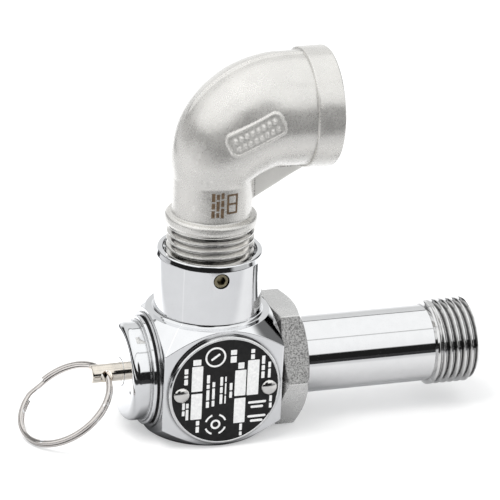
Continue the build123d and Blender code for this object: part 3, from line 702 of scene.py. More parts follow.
def make_nozzle():
    """Hexagon, tube and helical thread as one closed turned shell, and the gasket behind it."""
    hex_start, hex_end = 15.35, 22.2
    chamfer_start, chamfer_end = 14.0, 13.75    # radii where the end chamfers begin
    bore, tube = 6.0, 9.48
    thread_start, thread_end, tip = 56.5, 68.5, 8.95
    angles = corner_angles(count=300, sides=6, first=0, spread=1.4, extra=11)
    hexagon = polygon_radius(angles, sides=6, flat=14.4, rounding=0.55, first_flat=math.pi / 2)
    left = hex_start + (hexagon - chamfer_start) * 0.32
    right = hex_end - (hexagon - chamfer_end) * 0.55
    head = [                                    # x, radius, rounding
        (5.4, bore, 0), (5.4, 6.75, 0.08), (5.7, 7.1, 0.08), (8.4, 7.1, 0.05), (8.4, 9.8, 0.1),
        (8.8, 10.2, 0.1), (hex_start, 10.2, 0), (hex_start, chamfer_start, 0.15),
        (left, hexagon, 0.22),
    ]
    flats = [(left + (right - left) * f, hexagon, 0) for f in np.linspace(0.06, 0.94, 12)]
    neck = [(right, hexagon, 0.25), (hex_end, chamfer_end, 0.18), (hex_end, tube, 0.3),
            (thread_start, tube, 0)]
    front = rounded(head + flats + neck, angles, segments=4)

    x = np.linspace(thread_start, thread_end, 236)[1:]
    x = np.broadcast_to(x, (len(angles), len(x)))
    radius = thread_radius(x, np.broadcast_to(angles[:, None], x.shape), start=57.9)
    fade = smooth(np.clip((x - 57.3) / 1.5, 0, 1))
    radius = THREAD_MAJOR - fade * (THREAD_MAJOR - radius)
    envelope = np.minimum(tube + (x - thread_start) / 0.35, THREAD_MAJOR)
    envelope = np.minimum(envelope, tip + (thread_end - x) * 1.15)
    thread = np.stack([x, np.minimum(radius, envelope)], -1)
    mouth = rounded([(thread_end, tip, 0), (thread_end, 6.9, 0.15), (67.6, bore, 0.1),
                     (60, bore, 0)], angles, segments=3)[:, 1:]
    verts, faces = turn(np.concatenate([front, thread, mouth], 1), angles, "x", AXIS,
                        closed=True)

    # slots: tube, satin hexagon, its one rough side, thread
    middle = verts[faces[0]].mean(1)
    from_axis = np.hypot(middle[:, 1], middle[:, 2] - AXIS_Z)
    bearing = np.degrees(np.arctan2(middle[:, 2] - AXIS_Z, middle[:, 1])) % 360
    slots = np.zeros(len(middle), np.int32)
    on_hex = ((middle[:, 0] > hex_start - 0.01) & (middle[:, 0] < hex_end + 0.01)
              & (from_axis > 10.6))
    slots[on_hex] = 1
    slots[on_hex & (bearing > 120.5) & (bearing < 179.5)] = 2
    slots[(middle[:, 0] > 56.3) & (from_axis > 8.5)] = 3
    nozzle = build("inlet_nozzle_piece", verts, faces,
                   [finish.tube, finish.hex_satin, finish.hex_rough, finish.thread],
                   [slots], sharp=50)
    place(nozzle, "valve", "inlet_nozzle", slot="nozzle_steel")

    gasket = lathe("nozzle_gasket_ring", [
        (HALF_BODY, 10.25, 0.05), (HALF_BODY, 13.7, 0.12), (hex_start, 13.7, 0.12),
        (hex_start, 10.25, 0.05),
    ], finish.gasket, sides=160, segments=3)
    place(gasket, "valve", "nozzle_gasket", slot="gasket_black")


# ---------------------------------------------------------------- name plate
# Places on the plate are x and z from its centre.

MARK_BACK, MARK_FACE = -16.10, -16.24       # y of the raised marks

BLANK_FIELDS = [                            # x, z, width, height
    (-7.15, 3.80, 2.75, 6.55), (-7.11, -3.46, 2.75, 6.75), (3.73, 1.74, 2.80, 6.75),
    (3.81, -5.55, 2.80, 6.55), (6.89, 2.87, 2.90, 9.2),
]
PRINT_LINES = [                             # x, z, height, width, relative lengths of the bars
    (-9.95, 4.6, 4.2, 1.15, (2, 1, 2.2)), (-10.35, -3.9, 3.4, 0.85, (1.4, 1)),
    (-9.40, -4.6, 4.4, 0.85, (1, 2.2)), (-6.64, -8.82, 3.1, 1.05, (1.2, 1.6)),
    (-7.33, 8.14, 1.5, 2.5, (1,)), (1.77, 8.92, 3.3, 1.9, (1, 1.3)),
    (-4.35, 0.28, 8.6, 0.95, (2.4, 1.2, 3.0, 1.8)), (-2.95, -0.6, 6.4, 0.85, (1.2, 2.6, 1.4)),
    (-1.0, 0.22, 7.1, 0.85, (2.2, 1.5, 2.4)), (0.05, 0.22, 7.1, 0.45, (1.2, 2.6, 1.8)),
    (1.41, 0.0, 3.9, 0.85, (1.4, 1.2)), (3.78, 6.30, 1.6, 1.9, (1,)),
    (4.31, -10.7, 3.1, 0.85, (1.7, 1)), (6.60, 9.05, 2.6, 1.2, (1, 1.2)),
    (9.35, 5.4, 5.9, 1.0, (2.0, 1.2, 1.6)), (10.95, 4.5, 4.2, 0.85, (1, 1.6)),
    (11.6, -4.0, 3.3, 0.85, (1.2, 1.0)),
]


def make_plate():
    """Black disc with a bright raised rim and two screw holes."""
    outline = rounded([                     # y, radius, rounding
        (-HALF_BODY, 0, 0), (-HALF_BODY, 14.0, 0.1), (-16.02, 14.0, 0.08),
        (-16.3, 13.72, 0.10), (-16.3, 13.42, 0.05), (-16.18, 13.3, 0.05), (-16.18, 0, 0),
    ], segments=3)
    verts, faces = turn(outline, around(256), "y", AXIS)
    middles = [verts[part].mean(1) for part in faces]
    slots = [np.hypot(c[:, 0], c[:, 2] - AXIS_Z) > 13.31 for c in middles]
    plate = build("nameplate_disc", verts, faces, [finish.enamel, finish.plate_rim], slots)
    cut(plate, [rod((x, -17, AXIS_Z), (x, -14, AXIS_Z), radius=0.85, sides=32)
                for x in PLATE_SCREWS_X], sharp=20)
    place(plate, "valve", "nameplate", slot="plate_black")


def raised_bar(x, z, width, height, rounding, tilt=0.0):
    """A thin rounded bar on the plate with a fine bevel round its face."""
    rounding = min(rounding, width / 2 - 0.01, height / 2 - 0.01)
    flat = rounded_rectangle(width / 2, height / 2, rounding, corner_points=4)
    c, s = math.cos(tilt), math.sin(tilt)
    outer = np.column_stack([x + flat[:, 0] * c - flat[:, 1] * s,
                             z + flat[:, 0] * s + flat[:, 1] * c])
    centre = outer.mean(0)
    half = max(0.2, np.abs(outer - centre).min(0).mean() + 0.3)
    inner = centre + (outer - centre) * (1 - 0.035 / half)
    n = len(outer)
    verts = np.vstack([np.column_stack([ring[:, 0], np.full(n, y), ring[:, 1] + AXIS_Z])
                       for ring, y in ((outer, MARK_BACK), (outer, MARK_FACE + 0.02),
                                       (inner, MARK_FACE))])
    i = np.arange(n)
    j = (i + 1) % n
    return verts, [np.stack([i, j, j + n, i + n], -1),
                   np.stack([i + n, j + n, j + 2 * n, i + 2 * n], -1),
                   i[None, ::-1], (i + 2 * n)[None]]


def raised_arc(x, z, inner, outer, start, end, count):
    """A raised arc or full ring on the plate, between two angles in degrees."""
    angles = np.radians(np.linspace(start, end, count))
    full = end - start == 360
    if full:
        angles = angles[:-1]
    k = len(angles)
    verts = np.vstack([
        np.column_stack([x + r * np.cos(angles), np.full(k, y), z + AXIS_Z + r * np.sin(angles)])
        for y in (MARK_BACK, MARK_FACE) for r in (inner, outer)])
    i = np.arange(k if full else k - 1)
    j = (i + 1) % k
    faces = [np.stack([i + 2 * k, j + 2 * k, j + 3 * k, i + 3 * k], -1),
             np.stack([i, i + k, j + k, j], -1),
             np.stack([i + k, i + 3 * k, j + 3 * k, j + k], -1),
             np.stack([i, j, j + 2 * k, i + 2 * k], -1)]
    if not full:
        e = k - 1
        faces += [np.array([[0, 2 * k, 3 * k, k]]),
                  np.array([[e, e + k, e + 3 * k, e + 2 * k]])]
    return verts, outward(verts, faces)


def print_line(x, z, height, width, lengths):
    """A column of short bars, from the top down, that stands for a line of small print."""
    gap = 0.36
    unit_length = (height - gap * (len(lengths) - 1)) / sum(lengths)
    top = z + height / 2
    marks = []
    for length in lengths:
        bar = length * unit_length
        marks.append(raised_bar(x, top - bar / 2, width * 0.80, bar, rounding=0.12))
        top -= bar + gap
    return marks


def make_plate_marks():
    marks = [raised_bar(*field, rounding=0.18) for field in BLANK_FIELDS]
    for line in PRINT_LINES:
        marks += print_line(*line)
    # a ring with a slanting bar
    x, z = -2.75, 9.12
    marks.append(raised_arc(x, z, inner=2.15, outer=2.6, start=0, end=360, count=40))
    marks.append(raised_bar(x, z, width=2.6, height=0.55, rounding=0.2, tilt=math.radians(35)))
    # a ring of four arcs round a small full ring
    x, z = -2.11, -8.64
    for start in (20, 110, 200, 290):
        marks.append(raised_arc(x, z, inner=2.35, outer=2.8, start=start, end=start + 50,
                                count=12))
    marks.append(raised_arc(x, z, inner=0.75, outer=1.25, start=0, end=360, count=30))
    # two pairs of level bars
    for z in (-2.6, -6.3):
        marks.append(raised_bar(8.2, z - 1.15, width=4.6, height=0.62, rounding=0.3))
        marks.append(raised_bar(8.2, z - 2.35, width=3.2, height=0.62, rounding=0.3))
    ob = build("nameplate_marks", *merge(marks), [finish.etched], orient=False, sharp=25)
    place(ob, "valve", slot="plate_black")


def make_plate_screws():
    shank, head, dome_y, dome = 0.75, 1.95, -16.42, 0.86
    stations = [(-12.8, 0, 0), (-12.8, shank, 0.1), (-16.16, shank, 0), (-16.16, head, 0.06),
                (dome_y, head, 0.1)]        # y, radius, rounding
    stations += [(dome_y - dome * math.sin(a), head * math.cos(a), 0)
                 for a in np.radians([14, 28, 42, 56, 70, 82])]
    stations.append((dome_y - dome, 0, 0))
    outline = rounded(stations, segments=3)
    shells = [turn(outline, around(72), "y", (x, 0, AXIS_Z)) for x in PLATE_SCREWS_X]
    screws = build("nameplate_drive_screws", *merge(shells), [finish.screw], sharp=40)
    place(screws, "valve", "nameplate_screws", slot="screw_steel")


def make_grub_screw():
    """Grub screw in the neck, with a hexagon socket."""
    outline = rounded([(-12.62, 0, 0), (-12.62, 1.85, 0.22), (-10.75, 1.85, 0.2),
                       (-10.75, 0, 0)], segments=4)     # y, radius, rounding
    grub = build("grub_screw_socket", *turn(outline, around(72), "y", (GRUB_X, 0, GRUB_Z)),
                 [finish.grub], sharp=40)
    half_flats = 1.0
    cut(grub, [rod((GRUB_X, -13.2, GRUB_Z), (GRUB_X, -11.4, GRUB_Z),
                   radius=half_flats / math.cos(math.pi / 6), sides=6)])
    place(grub, "valve", "grub_screw", slot="grub_brass")


# ---------------------------------------------------------------- outlet elbow
# The casting is a signed distance field, negative inside the metal.

OUTLET_Z = 80.0                 # height of the outlet's axis
BEND = 16.0                     # radius of the bend's centre line
BEND_Z = OUTLET_Z - BEND        # top of the straight leg
BEND_LENGTH = BEND * math.pi / 2
BEND_RADII = np.array([9.55, 11.15, 12.35, 13.05, 13.45, 13.70])   # evenly spaced on the bend
LEG_RADIUS = BEND_RADII[0]
OUTLET_X = 27.7                 # end face of the outlet
# raised pad on the front of the bend
PAD = dict(centre_x=6.1, centre_z=OUTLET_Z - 1.2, tilt=math.radians(27.5), length=14.6,
           width=6.0, rounding=2.0)
BLEMISHES = [                   # x, y, z, radius, height; small lumps and dents on the leg
    (-6.3, -7.3, 66.3, 0.55, 0.10), (-5.2, -8.3, 66.0, 0.45, -0.12),
    (-4.4, -8.8, 65.4, 0.6, 0.10), (-7.2, -6.6, 66.9, 0.4, -0.10),
]


def soft_min(a, b, blend):
    h = np.clip(0.5 + 0.5 * (b - a) / blend, 0, 1)
    return b * (1 - h) + a * h - blend * h * (1 - h)


def soft_max(a, b, blend):
    return -soft_min(-a, -b, blend)


def box_distance(u, v, half_u, half_v, rounding):
    """Distance to a rounded rectangle; u and v are already folded to one quarter."""
    qu, qv = u - (half_u - rounding), v - (half_v - rounding)
    return (np.hypot(np.maximum(qu, 0), np.maximum(qv, 0)) + np.minimum(np.maximum(qu, qv), 0)
            - rounding)


def pad_frame(x, z, centre_x, centre_z, tilt, length, width, rounding):
    """Distance to the pad's outline, and places along and across the pad."""
    c, s = math.cos(tilt), math.sin(tilt)
    along = (x - centre_x) * c + (z - centre_z) * s
    across = -(x - centre_x) * s + (z - centre_z) * c
    edge = box_distance(np.abs(along), np.abs(across), length / 2, width / 2, rounding)
    return edge, along, across


def outer_radius(travel):
    """Outer radius along the centre line, a spline through BEND_RADII."""
    t = np.clip(travel / BEND_LENGTH * 5, 0, 5)
    i = np.minimum(t.astype(int), 4)
    f = t - i
    padded = np.concatenate([[BEND_RADII[0]], BEND_RADII, [BEND_RADII[-1]]])
    p0, p1, p2, p3 = padded[i], padded[i + 1], padded[i + 2], padded[i + 3]
    radius = p1 + 0.5 * f * (p2 - p0 + f * (2 * p0 - 5 * p1 + 4 * p2 - p3
                                            + f * (3 * (p1 - p2) + p3 - p0)))
    return np.where(travel > 0, radius, LEG_RADIUS)


def path_frame(x, y, z):
    """Distance from the centre line, travel along it from the bend's start, and the place
    across it, positive towards the outer side of the bend."""
    leg = z < BEND_Z
    bend_x, bend_z = BEND - x, z - BEND_Z
    rho = np.hypot(bend_x, bend_z)
    angle = np.arctan2(np.maximum(bend_z, 0), np.maximum(bend_x, 1e-6))
    straight = (x > BEND) & ~leg
    radius = np.where(leg, np.hypot(x, y), np.where(straight, np.hypot(z - OUTLET_Z, y),
                                                    np.hypot(rho - BEND, y)))
    travel = np.where(leg, z - BEND_Z, np.where(straight, BEND_LENGTH + x - BEND,
                                                BEND * angle))
    side = np.where(leg, -x, np.where(straight, z - OUTLET_Z, rho - BEND))
    return radius, travel, side


def elbow_distance(x, y, z):
    radius, travel, side = path_frame(x, y, z)
    from_outlet = np.hypot(z - OUTLET_Z, y)
    d = radius - outer_radius(travel)
    corner = (x > BEND) & (z < BEND_Z)
    d = np.where(corner, np.minimum(d, from_outlet - BEND_RADII[-1]), d)
    # ends of the bent tube
    d = soft_max(d, x - 22.5, 0.1)
    d = soft_max(d, 51.5 - z, 0.1)
    # rib along the outer side of the bend
    extent = np.clip((travel - 9.0) / 2.5, 0, 1) * np.clip((BEND_LENGTH + 6.2 - travel) / 2.0,
                                                           0, 1)
    d = d - 0.46 * np.exp(-(y / 0.55) ** 4) * extent * (side > 0)
    # collar at the top of the male thread
    collar = box_distance(np.hypot(x, y), np.abs(z - 53.7), 11.1, 1.4, 1.0)
    d = soft_min(d, collar, 0.5)
    # band at the exit
    exit_band = box_distance(np.abs(x - 24.35), from_outlet, 3.35, 14.5, 0.4)
    d = soft_min(d, exit_band, 0.18)
    # gusset in the throat
    slope = unit((7.0, -12.1))
    line = (x - 10.1) * slope[0] + (z - 57.9) * slope[1]
    web = soft_max(soft_max(np.abs(y) - 1.0, line, 0.35), np.maximum(x - 22.2, -(x - 4.0)), 0.2)
    web = np.maximum(web, z - 74.0)
    d = soft_min(d, web, 0.9)
    # pad: floor, rim and a row of plain raised blocks, on the front only
    edge, along, across = pad_frame(x, z, **PAD)
    front = np.where(y < 0, 0.0, 5.0)
    base = d
    d = soft_min(d, soft_max(base - 0.14, edge, 0.15) + front, 0.10)
    d = soft_min(d, soft_max(base - 0.50, np.abs(edge + 0.30) - 0.25, 0.15) + front, 0.08)
    inside = np.where((y < 0) & (edge < -0.6), 1.0, 0.0)
    pitch = 1.45
    u = np.mod(along + 30 * pitch, pitch) - pitch / 2
    v = np.abs(across) - 0.98
    blocks = np.exp(-(u * u / 0.20 + v * v / 0.30) ** 1.5)
    d = d - 0.42 * blocks * inside * (np.abs(along) < 5.85)
    for px, py, pz, size, height in BLEMISHES:
        away = np.sqrt((x - px) ** 2 + (y - py) ** 2 + (z - pz) ** 2)
        d = d - height * np.exp(-(away / size) ** 2)
    # slow unevenness of the casting
    d = d - 0.035 * (np.sin(x * 0.71 + 1.3) * np.sin(y * 0.63 + z * 0.37)
                     + np.sin(z * 0.53 + x * 0.41 + 2.0) * np.sin(y * 0.47 + 0.6))
    # passage, wider towards the outlet
    passage = 7.0 + 2.0 * smooth(np.clip(travel / BEND_LENGTH, 0, 1))
    d = soft_max(d, -(np.where(corner, 3.0, radius - passage)), 0.3)
    # female pipe thread in the outlet, fading out with depth
    depth = OUTLET_X - x
    thread = thread_radius(depth, np.arctan2(y, z - OUTLET_Z), start=0.6)
    thread = THREAD_MINOR + (thread - THREAD_MINOR) * np.clip((12.2 - depth) / 1.6, 0, 1)
    thread = np.maximum(thread, 11.0 - depth)
    return soft_max(d, np.minimum(thread - from_outlet, x - (OUTLET_X - 13.5)), 0.05)


def surface_nets(field, low, high, step):
    """Meshes the zero surface of a field: a vertex in each crossed cell, a quad per edge."""
    axes = [np.arange(a, b + step, step) for a, b in zip(low, high)]
    nx, ny, nz = (len(axis) for axis in axes)
    values = np.empty((nx, ny, nz), np.float32)
    plane_y, plane_z = np.meshgrid(axes[1], axes[2], indexing="ij")
    for first in range(0, nx, 16):          # in slices, to save memory
        slice_x = axes[0][first:first + 16][:, None, None]
        slice_x = np.broadcast_to(slice_x, (len(slice_x),) + plane_y.shape)
        values[first:first + 16] = field(slice_x, plane_y[None], plane_z[None])
    inside = values < 0
    corners = [np.array((i, j, k)) for k in (0, 1) for j in (0, 1) for i in (0, 1)]
    count = np.zeros((nx - 1, ny - 1, nz - 1), np.int8)
    for i, j, k in corners:
        count += inside[i:nx - 1 + i, j:ny - 1 + j, k:nz - 1 + k]
    crossed = (count > 0) & (count < 8)
    cells = np.argwhere(crossed)
    ids = np.full(crossed.shape, -1, np.int64)
    ids[crossed] = np.arange(len(cells))

    # each vertex starts at the mean of its cell's edge crossings
    total = np.zeros((len(cells), 3))
    crossings = np.zeros(len(cells))
    at_corner = [values[tuple((cells + corner).T)].astype(float) for corner in corners]
    for a in range(8):
        for b in range(a + 1, 8):
            if np.abs(corners[a] - corners[b]).sum() != 1:
                continue
            hit = (at_corner[a] < 0) != (at_corner[b] < 0)
            t = at_corner[a] / np.where(hit, at_corner[a] - at_corner[b], 1.0)
            point = corners[a] + t[:, None] * (corners[b] - corners[a])
            total[hit] += point[hit]
            crossings[hit] += 1
    verts = (cells + total / crossings[:, None]) * step + np.array(low)

    quads = []
    for axis in range(3):
        near, far = [slice(None)] * 3, [slice(None)] * 3
        near[axis], far[axis] = slice(0, -1), slice(1, None)
        edges = np.argwhere(inside[tuple(near)] != inside[tuple(far)])
        u, v = (axis + 1) % 3, (axis + 2) % 3
        edges = edges[(edges[:, u] > 0) & (edges[:, v] > 0)
                      & (edges[:, u] < ids.shape[u]) & (edges[:, v] < ids.shape[v])]
        step_u, step_v = np.eye(3, dtype=int)[[u, v]]
        quad = np.stack([ids[tuple((edges - shift).T)]
                         for shift in (step_u + step_v, step_v, 0, step_u)], -1)
        quad = np.where(inside[tuple(edges.T)][:, None], quad, quad[:, ::-1])
        quads.append(quad[(quad >= 0).all(1)])

    # pull the vertices onto the surface along the gradient
    probe = step * 0.12
    for _ in range(4):
        distance = field(*verts.T)
        gradient = np.stack([(field(*(verts + shift).T) - field(*(verts - shift).T)) / (2 * probe)
                             for shift in np.eye(3) * probe], -1)
        steepness = np.maximum((gradient ** 2).sum(1), 0.25)
        move = -(distance / steepness)[:, None] * gradient
        length = np.linalg.norm(move, axis=1, keepdims=True)
        verts = verts + move * np.minimum(1, 0.4 * step / np.maximum(length, 1e-9))
    return verts, np.vstack(quads)


def male_thread():
    """Thread below the collar, a closed turned shell that runs up inside the collar."""
    bottom, top, bore = 36.0, 52.9, 7.02
    angles = around(240)
    z = np.broadcast_to(np.linspace(bottom, 52.6, 300), (len(angles), 300))
    radius = thread_radius(z, np.broadcast_to(angles[:, None], z.shape), start=36.5,
                           major=10.56, minor=9.40, flat=0.15)
    radius = np.minimum(radius, 8.95 + (z - bottom) * 0.9)
    radius = radius + smooth(np.clip((z - 51.1) / 1.2, 0, 1)) * (10.45 - radius)
    rest = rounded([(top, 10.4, 0), (top, bore, 0), (bottom, bore, 0), (bottom, 8.7, 0)], angles)
    verts, faces = turn(np.concatenate([np.stack([z, radius], -1), rest], 1), angles, "z",
                        closed=True)
    return verts, outward(verts, faces)


def make_elbow():
    step = 0.27
    verts, quads = surface_nets(elbow_distance, low=(-16.5, -15.6, 50.6),
                                high=(28.6, 15.6, 96.0), step=step)
    thread = male_thread()
    x, y, z = verts[quads].mean(1).T
    from_outlet = np.hypot(y, z - OUTLET_Z)
    in_thread = (from_outlet < 11.2) & (x > 15.0)
    radius, travel, side = path_frame(x, y, z)
    on_web = ((np.abs(y) < 1.6) & (x > 5) & (z < 74) & (radius > outer_radius(travel) + 0.9)
              & (side < 0))
    on_pad = (y < 0) & (from_outlet > 10.0) & (pad_frame(x, z, **PAD)[0] < -0.1)
    slots = np.where(on_web, 3, np.where(on_pad, 2, in_thread.astype(np.int32)))
    elbow = build("outlet_elbow_casting", *merge([(verts, [quads]), thread]),
                  [finish.elbow, finish.elbow_thread, finish.pad, finish.web],
                  [slots, np.ones(len(thread[1][0]), np.int32)])
    place(elbow, "elbow", "outlet_elbow", slot="elbow_steel")


def leg_bar(left, right, bottom, top):
    """A thin bar on the front of the leg; left and right are arc lengths from the front line."""
    columns = max(2, int(abs(right - left) / 0.12) + 2)
    rows = max(2, int(abs(top - bottom) / 0.25) + 2)
    arc, z = np.meshgrid(np.linspace(left, right, columns), np.linspace(bottom, top, rows),
                         indexing="ij")
    angles = -math.pi / 2 + arc / LEG_RADIUS
    surface = np.full(angles.shape, LEG_RADIUS)
    for _ in range(4):                      # walk onto the uneven casting
        surface = surface - elbow_distance(surface * np.cos(angles),
                                           surface * np.sin(angles), z)
    verts = np.vstack([np.stack([r * np.cos(angles), r * np.sin(angles), z], -1).reshape(-1, 3)
                       for r in (surface + 0.016, surface - 0.10)])
    n = columns * rows
    face = grid(columns, rows)
    rim = np.array([i * rows for i in range(columns)]
                   + [(columns - 1) * rows + j for j in range(1, rows)]
                   + [i * rows + rows - 1 for i in range(columns - 2, -1, -1)]
                   + list(range(rows - 2, 0, -1)))
    following = np.roll(rim, -1)
    return verts, [face, face[:, ::-1] + n,
                   np.stack([rim + n, following + n, following, rim], -1)]


def make_leg_marking():
    """Brown marking: three columns of bars, with a plain frame to their right."""
    bars = [                                # left, right, bottom, top
        (-3.10, -2.30, 57.0, 58.9), (-3.10, -2.30, 59.3, 60.8), (-3.10, -2.30, 61.2, 63.3),
        (-1.95, -1.20, 57.2, 58.4), (-1.95, -1.20, 58.8, 61.3), (-1.95, -1.20, 61.7, 63.1),
        (-0.85, -0.10, 57.0, 59.5), (-0.85, -0.10, 59.9, 61.5), (-0.85, -0.10, 61.9, 63.4),
        # frame with a middle rail
        (0.60, 1.15, 57.9, 62.9), (2.95, 3.50, 57.9, 62.9), (1.15, 2.95, 57.9, 58.4),
        (1.15, 2.95, 62.4, 62.9), (1.15, 2.95, 60.15, 60.65),
    ]
    ob = build("elbow_laser_bars", *merge([leg_bar(*bar) for bar in bars]), [finish.laser],
               sharp=35)
    place(ob, "elbow", slot="elbow_steel")


# ---------------------------------------------------------------- inner pieces and spring

def finish_inner_pieces():
    """Hidden pieces keep their CAD shape and get a material."""
    for node, material in {
        "bonnet_o_ring": finish.seal, "stem_bush": finish.bush, "stem_o_ring": finish.seal,
        "adjusting_screw": finish.brass, "lock_ring": finish.brass,
        "upper_spring_washer": finish.spring, "disc_holder": finish.brass,
        "seat_disc": finish.seat, "disc_washer": finish.spring, "stem_nut": finish.spring,
    }.items():
        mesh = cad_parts[node].data
        mesh.materials.clear()
        mesh.materials.append(material)


SPRING_START, SPRING_END = -12.07, 0.57     # x of the spring's two ends
SPRING_SPLIT = -7.8                         # x where its two objects meet
WIRE, COIL = 0.70, 4.90                     # radii of the wire and of its centre line
SPRING_TURNS = 4.75


def make_spring_part(name, start, end):
    """The part of the spring's wire whose centre line runs from x = start to x = end."""
    length = SPRING_END - SPRING_START - 2 * WIRE
    rows = int(round(abs(end - start) / length * SPRING_TURNS * 72)) + 1
    sides = 20
    travel = np.linspace(start, end, rows) - (SPRING_START + WIRE)
    t = travel / length * SPRING_TURNS * FULL_TURN
    centre = np.column_stack([SPRING_START + WIRE + travel, COIL * np.sin(t),
                              AXIS_Z - COIL * np.cos(t)])
    radial = np.column_stack([np.zeros(rows), np.sin(t), -np.cos(t)])
    tangent = np.column_stack([np.full(rows, length / (SPRING_TURNS * FULL_TURN)),
                               COIL * np.cos(t), COIL * np.sin(t)])
    tangent /= np.linalg.norm(tangent, axis=1)[:, None]
    across = np.cross(tangent, radial)
    a = around(sides)
    verts = centre[:, None] + WIRE * (np.cos(a)[None, :, None] * radial[:, None]
                                      + np.sin(a)[None, :, None] * across[:, None])
    j = np.arange(sides)
    faces = [grid(rows, sides, wrap_columns=True), j[None],
             ((rows - 1) * sides + j)[None, ::-1]]
    return build(name, verts.reshape(-1, 3), faces, [finish.spring], sharp=50)


def make_spring():
    """The spring's wire as two parts that meet at SPRING_SPLIT."""
    for name, start, end, start_body, end_body, blend_start, blend_end in (
        ("spring_washer_end", SPRING_START + WIRE, SPRING_SPLIT, "adjuster", "valve",
         -10.67, SPRING_SPLIT - WIRE),
        ("spring_disc_end", SPRING_SPLIT, SPRING_END - WIRE, "valve", "stem",
         SPRING_SPLIT + WIRE, -0.83),
    ):
        part = make_spring_part(name, start, end)
        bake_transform(part)
        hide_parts("spring")


# ---------------------------------------------------------------- floor, light, camera

def floor_paper():
    """Even light paper; polished metal sees it in zones, like a table in a light tent, with
    painted light and shade.
    """
    m = Material("floor_paper")
    x, y, _ = m.split(m.object_place)
    glossy = m.new("LightPath").outputs["Is Glossy Ray"]
    # for reflections only, painted light and shade: bright towards the back, greyer in front, a
    # little lighter at the front right
    white = m.multiply(m.ease(y, span=(-0.010, 0.020)), m.ease(x, span=(-0.080, -0.060)))
    front_right = m.multiply(m.ease(x, span=(0.020, 0.045)), m.ease(y, span=(-0.075, -0.050)))
    paper = m.mix(front_right, (0.470, 0.472, 0.480), (0.60, 0.60, 0.605))
    paper = m.mix(white, paper, (0.90, 0.905, 0.92))
    # dark: beyond the front edge, a strip on the left seen at low angles, and a painted shadow
    # under the valve
    edge = m.ease(y, span=(-0.123, -0.111), to=(1, 0))
    incoming_z = m.split(m.new("NewGeometry").outputs["Incoming"])[2]
    strip = m.multiply(m.ease(x, span=(-0.190, -0.170)),
                       m.ease(x, span=(-0.085, -0.070), to=(1, 0)))
    strip = m.multiply(strip, m.ease(incoming_z, span=(0.27, 0.33), to=(1, 0)))
    from_centre = m.math("POWER", m.add(m.multiply(x, x), m.multiply(y, y)), 0.5)
    under = m.ease(from_centre, span=(0.016, 0.023), to=(0.60, 0))
    dark = m.largest(m.largest(edge, strip), under)
    reflected = m.mix(dark, paper, (0.012, 0.012, 0.013))
    mottle = m.ramp(m.noise(scale=40, rough=0.55), span=(0.3, 0.7))
    direct = m.mix(mottle, (0.590, 0.588, 0.586), (0.605, 0.602, 0.598))
    glow = 0.38                             # lifts the paper for all but glossy rays
    m.put(m.shader.inputs["Emission Color"], (0.985, 0.992, 1.0))
    m.put(m.shader.inputs["Emission Strength"], m.multiply(m.subtract(1.0, glossy), glow))
    grain = m.noise(scale=900, detail=2, rough=0.55)
    return m.finish(m.mix(glossy, direct, reflected), metal=0.0, rough=0.9,
                    normal=m.bump(grain, strength=0.05, depth=0.00005), spec=0.1)


def make_floor():
    size = 3000
    verts = [(-size, -size, 0), (size, -size, 0), (size, size, 0), (-size, size, 0)]
    build("floor", verts, [np.array([[0, 1, 2, 3]])], [floor_paper()], orient=False)


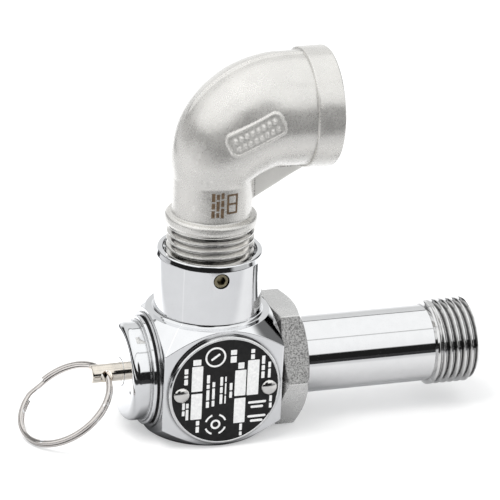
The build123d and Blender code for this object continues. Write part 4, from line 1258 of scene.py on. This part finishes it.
def make_world():
    """White for the camera; a light tent with a dark opening and seams for reflections."""
    world = bpy.data.worlds.new("studio")
    scene.world = world
    world.use_nodes = True
    w = Nodes(world.node_tree)
    output = w.new("OutputWorld")
    room = w.new("Background")
    backdrop = w.new("Background")
    choice = w.new("MixShader")
    light_path = w.new("LightPath")
    x, y, z = w.split(w.new("TexCoord").outputs["Generated"])

    def towards(dx, dy, dz):
        """Nearness of a view direction to the given one."""
        return w.add(w.add(w.multiply(x, dx), w.multiply(y, dy)), w.multiply(z, dz))

    def past_seam(slope=1.05):
        return w.subtract(y, w.multiply(z, slope))

    # the opening: a band above the horizon to the front and left, dimmer on the right
    band_top = w.ease(x, span=(-0.7, 0.1), to=(0.27, 0.315))
    band = w.multiply(w.ease(z, span=(-0.02, 0.0)),
                      w.ease(w.subtract(z, band_top), span=(-0.030, 0.020), to=(1, 0)))
    skew = 0.6
    front = w.ease(w.add(y, w.multiply(x, skew)), span=(0.12, 0.36), to=(1, 0))
    band = w.multiply(band, w.largest(front, w.ease(x, span=(-0.45, -0.25), to=(1, 0))))
    camera_spot = w.ease(towards(dx=-0.305, dy=-0.870, dz=0.388), span=(0.935, 0.972))
    band = w.multiply(band, w.ease(x, span=(0.42, 0.62), to=(1, 0.45)))
    darkness = 0.985
    dark = w.multiply(w.largest(band, camera_spot), darkness)

    # thin seams between the overhead panels, and a dimmer panel behind the second seam
    seam1_slope, seam1_depth, seam2_depth, panel_depth = 0.49, 0.45, 0.82, 0.27
    seam1 = w.ease(w.math("ABSOLUTE", w.add(y, w.multiply(z, seam1_slope))),
                   span=(0.014, 0.040), to=(1, 0))
    seam2 = w.ease(w.math("ABSOLUTE", past_seam()), span=(0.022, 0.060), to=(1, 0))
    seam = w.largest(w.multiply(seam1, seam1_depth), w.multiply(seam2, seam2_depth))
    panel = w.ease(past_seam(), span=(0.0, 0.05))
    seam = w.largest(seam, w.multiply(panel, panel_depth))
    seam = w.multiply(seam, w.ease(z, span=(0.1, 0.3)))

    level = w.subtract(1.0, w.largest(dark, seam), clamp=True)
    right_spot = w.ease(towards(dx=0.86, dy=0.31, dz=0.40), span=(0.89, 0.975), to=(0, 0.85))
    level = w.subtract(level, right_spot, clamp=True)
    level = w.multiply(level, w.ease(z, span=(0.1, 0.9), to=(1, 1.10)))
    # matt surfaces get even light, without the room's dark parts
    even_light = 1.0
    level = w.largest(level, w.multiply(light_path.outputs["Is Diffuse Ray"], even_light))
    red, green = 0.985, 0.995               # shares of blue, a slightly cool white
    colour = w.new("CombineColor")
    w.put(colour.inputs[0], w.multiply(level, red))
    w.put(colour.inputs[1], w.multiply(level, green))
    w.put(colour.inputs[2], level)
    w.put(room.inputs["Color"], colour.outputs[0])
    w.put(backdrop.inputs["Color"], (1, 1, 1))
    for background in (room, backdrop):
        background.inputs["Strength"].default_value = 1.0
    w.put(choice.inputs[0], light_path.outputs["Is Camera Ray"])
    w.put(choice.inputs[1], room.outputs[0])
    w.put(choice.inputs[2], backdrop.outputs[0])
    w.put(output.inputs["Surface"], choice.outputs[0])


def make_key_light():
    """A soft light from the upper left that doesn't show in reflections."""
    light = bpy.data.lights.new("key", "AREA")
    light.shape = "RECTANGLE"
    light.size = light.size_y = 0.5
    light.energy = 5.0
    light.color = (1.0, 0.99, 0.98)
    ob = bpy.data.objects.new("key", light)
    scene.collection.objects.link(ob)
    ob.location = Vector((-0.35, -0.10, 0.75))
    aim = Vector((0.01, 0, 0.03)) - Vector((-0.35, -0.10, 0.75))
    ob.rotation_euler = aim.to_track_quat("-Z", "Y").to_euler()
    ob.visible_glossy = False
    ob.visible_camera = False


def make_camera():
    """Long lens from the front left, looking slightly down; lengths in metres."""
    heading, elevation, roll = (math.radians(a) for a in (-19.313, 22.837, 2.763))
    distance = 0.847013
    target = Vector((0.010221, 0.0, 0.028980 + AXIS_Z * MM))
    back = Vector((math.sin(heading) * math.cos(elevation),
                   -math.cos(heading) * math.cos(elevation), math.sin(elevation)))
    level_right = Vector((math.cos(heading), math.sin(heading), 0))
    level_up = back.cross(level_right)
    right = level_right * math.cos(roll) + level_up * math.sin(roll)
    up = -level_right * math.sin(roll) + level_up * math.cos(roll)
    camera = bpy.data.cameras.new("camera")
    ob = bpy.data.objects.new("camera", camera)
    scene.collection.objects.link(ob)
    pose = Matrix((right, up, back)).transposed().to_4x4()
    pose.translation = target + back * distance
    ob.matrix_world = pose
    camera.sensor_fit = "HORIZONTAL"
    camera.sensor_width = 36.0
    camera.lens = 253.123344
    camera.clip_start, camera.clip_end = 0.01, 20.0
    scene.camera = ob
    scene.view_settings.view_transform = "Standard"
    scene.view_settings.look = "None"
    scene.view_settings.exposure = 0.0


make_body()
make_bonnet()
make_cap()
make_stem()
make_pull_ring()
make_nozzle()
make_plate()
make_plate_marks()
make_plate_screws()
make_grub_screw()
make_elbow()
make_leg_marking()
finish_inner_pieces()
make_spring()
make_floor()
make_world()
make_key_light()
make_camera()
